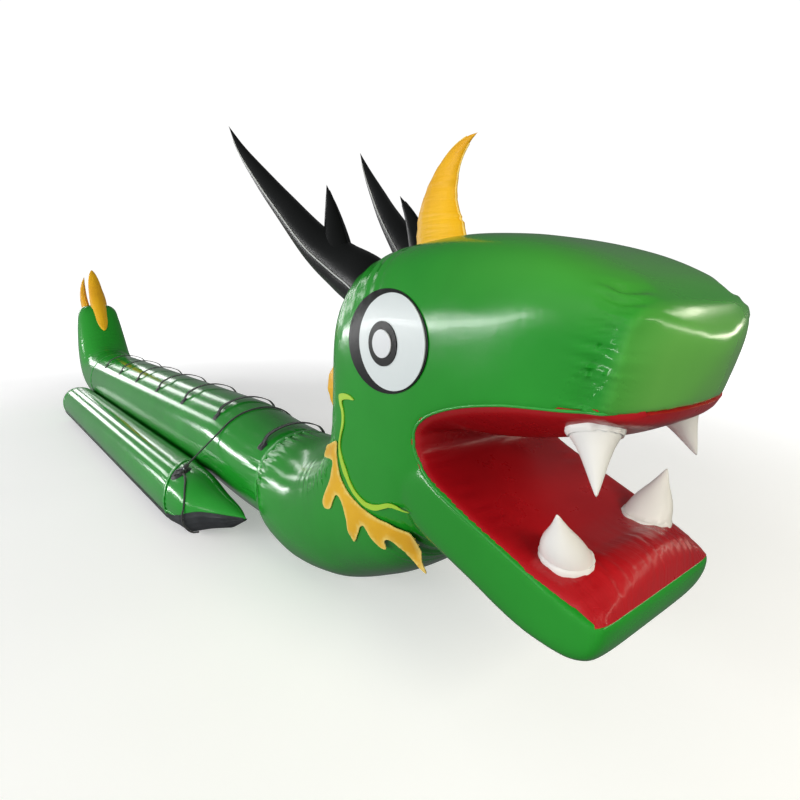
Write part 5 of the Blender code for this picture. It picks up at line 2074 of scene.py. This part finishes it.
@dataclass
class Studio:
    """Pale floor, soft strip lights and the photograph's camera."""

    location: Place = (4.26, -1.369, 1.35)
    heading: float = math.radians(39.1)
    pitch: float = math.radians(10.8)
    focal_pixels: float = 538.0
    image_pixels: float = 800.0
    sensor: float = 36.0
    backdrop_light: float = 1.04
    floor_light: float = 0.42
    floor_light_far: float = 1.45
    # How far from the boat's middle the floor starts to glow more, and where it glows most
    glow_start: float = 4.0
    glow_end: float = 14.0
    stern_panel: tuple[float, float] = (0.85, 5.6)
    stern_power: float = 66.0
    stern_reach: float = 4.6
    world_bright: float = 0.44
    world_dim: float = 0.13

    def camera(self) -> None:
        """Stand the camera where the photograph was taken."""
        data = bpy.data.cameras.new("photo_camera")
        data.sensor_width = self.sensor
        data.lens = self.focal_pixels / self.image_pixels * self.sensor
        data.clip_end = 200.0
        camera = bpy.data.objects.new("photo_camera", data)
        bpy.context.scene.collection.objects.link(camera)
        ahead = Vector((-math.cos(self.heading), math.sin(self.heading), 0.0))
        right = Vector((math.sin(self.heading), math.cos(self.heading), 0.0))
        up = Vector((0.0, 0.0, 1.0))
        forward = ahead * math.cos(self.pitch) - up * math.sin(self.pitch)
        top = ahead * math.sin(self.pitch) + up * math.cos(self.pitch)
        turn = Matrix((right, top, -forward)).transposed().to_4x4()
        camera.matrix_world = Matrix.Translation(self.location) @ turn
        bpy.context.scene.camera = camera

    def floor(self) -> None:
        """Lay a pale floor."""
        deselect()
        bpy.ops.mesh.primitive_plane_add(size=90.0, location=(0.0, 0.0, 0.0))
        floor = bpy.context.object
        floor.name = "floor"
        nodes = Nodes(bpy.data.materials.new("pale_floor"))
        colour = nodes.ramp(nodes.noise(0.6, 3.0, 0.5), 0.3, 0.7, (0.80, 0.80, 0.80), (0.83, 0.83, 0.83))
        distance = nodes.new("ShaderNodeVectorMath", operation="LENGTH", Vector=nodes.place)
        glow = nodes.range(distance.outputs["Value"], self.floor_light, self.floor_light_far,
                           self.glow_start, self.glow_end)
        nodes.set(Base_Color=colour, Emission_Color=colour, Emission_Strength=glow, Roughness=0.75,
                  Specular_IOR_Level=0.0)
        floor.data.materials.append(nodes.owner)
        floor.visible_diffuse = floor.visible_glossy = False

    @staticmethod
    def panel(name: str, size: tuple[float, float], power: float, stand: Matrix, glossy: bool = True,
              tint: Colour = NEUTRAL) -> None:
        """Hang one soft panel.

        Args:
            name: the light's name.
            size: its width and height.
            power: its power in watts.
            stand: where it hangs and how it is turned.
            glossy: whether it shows in reflections.
            tint: its colour.
        """
        data = bpy.data.lights.new(name, "AREA")
        data.shape = "RECTANGLE"
        data.size, data.size_y = size
        data.energy = power
        data.color = tint
        light = bpy.data.objects.new(name, data)
        bpy.context.scene.collection.objects.link(light)
        light.matrix_world = stand
        light.visible_camera = False
        light.visible_glossy = glossy

    def lights(self) -> None:
        """Hang the panels round the boat, and three behind the stern that face along the seat tube."""
        for name, place, target, size, power, glossy, tint in STUDIO_PANELS:
            turn = (Vector(target) - Vector(place)).to_track_quat("-Z", "Y").to_matrix().to_4x4()
            self.panel(name, size, power, Matrix.Translation(place) @ turn, glossy, tint)
        facing = Vector((-1.0, 0.0, 0.0))
        for degrees in STERN_PANELS:
            angle = math.radians(degrees)
            outward = Vector((0.0, math.cos(angle), math.sin(angle)))
            turn = Matrix((outward.cross(facing), outward, facing)).transposed().to_4x4()
            middle = Vector((-12.0, 0.0, 0.42)) + outward * self.stern_reach
            self.panel(f"stern_panel_{degrees:.0f}", self.stern_panel, self.stern_power,
                       Matrix.Translation(middle) @ turn)

    def backdrop(self) -> None:
        """Stand a plain white screen all round, which lights nothing and shows in no reflection."""
        deselect()
        bpy.ops.mesh.primitive_cylinder_add(vertices=96, radius=44.0, depth=80.0, end_fill_type="NOTHING")
        screen = bpy.context.object
        screen.name = "backdrop"
        nodes = Nodes(bpy.data.materials.new("backdrop_white"))
        nodes.set(Emission_Strength=self.backdrop_light, Roughness=1.0, Specular_IOR_Level=0.0,
                  Base_Color=(0.0, 0.0, 0.0, 1.0), Emission_Color=(1.0, 1.0, 1.0, 1.0))
        screen.data.materials.append(nodes.owner)
        screen.visible_diffuse = screen.visible_glossy = False
        screen.visible_transmission = screen.visible_shadow = False

    def world(self) -> None:
        """Surround the boat with even light, dimmer to port and overhead."""
        nodes = Nodes(bpy.data.worlds.new("studio_world"), "Background")
        split = nodes.new("ShaderNodeSeparateXYZ", Vector=nodes.place.node.outputs["Generated"])
        steep = nodes.math("ABSOLUTE", split.outputs["Z"])
        total = nodes.math("MULTIPLY_ADD", steep, 0.9, split.outputs["Y"])
        nodes.set(Color=(0.96, 0.98, 1.0, 1.0),
                  Strength=nodes.range(total, self.world_bright, self.world_dim, -0.8, 0.9))
        bpy.context.scene.world = nodes.owner

    def build(self) -> None:
        """Set up floor, backdrop, world, lights and camera."""
        self.floor()
        self.backdrop()
        self.world()
        bpy.context.scene.view_settings.view_transform = "Standard"
        self.lights()
        self.camera()


def main() -> None:
    """Load the model, dress every piece and set up the studio."""
    logging.basicConfig(level=logging.INFO, format="%(name)s %(message)s")
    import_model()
    seat = SeatTube()
    seat.build()
    head = Head().build()
    Mouth(head).build()
    Applique(head).build()
    Spikes().build()
    Fins().build()
    floats = Outriggers()
    floats.build()
    handles = Handles(seat)
    handles.build()
    Rigging(floats, handles).build()
    Studio().build()


if __name__ == "__main__":
    main()
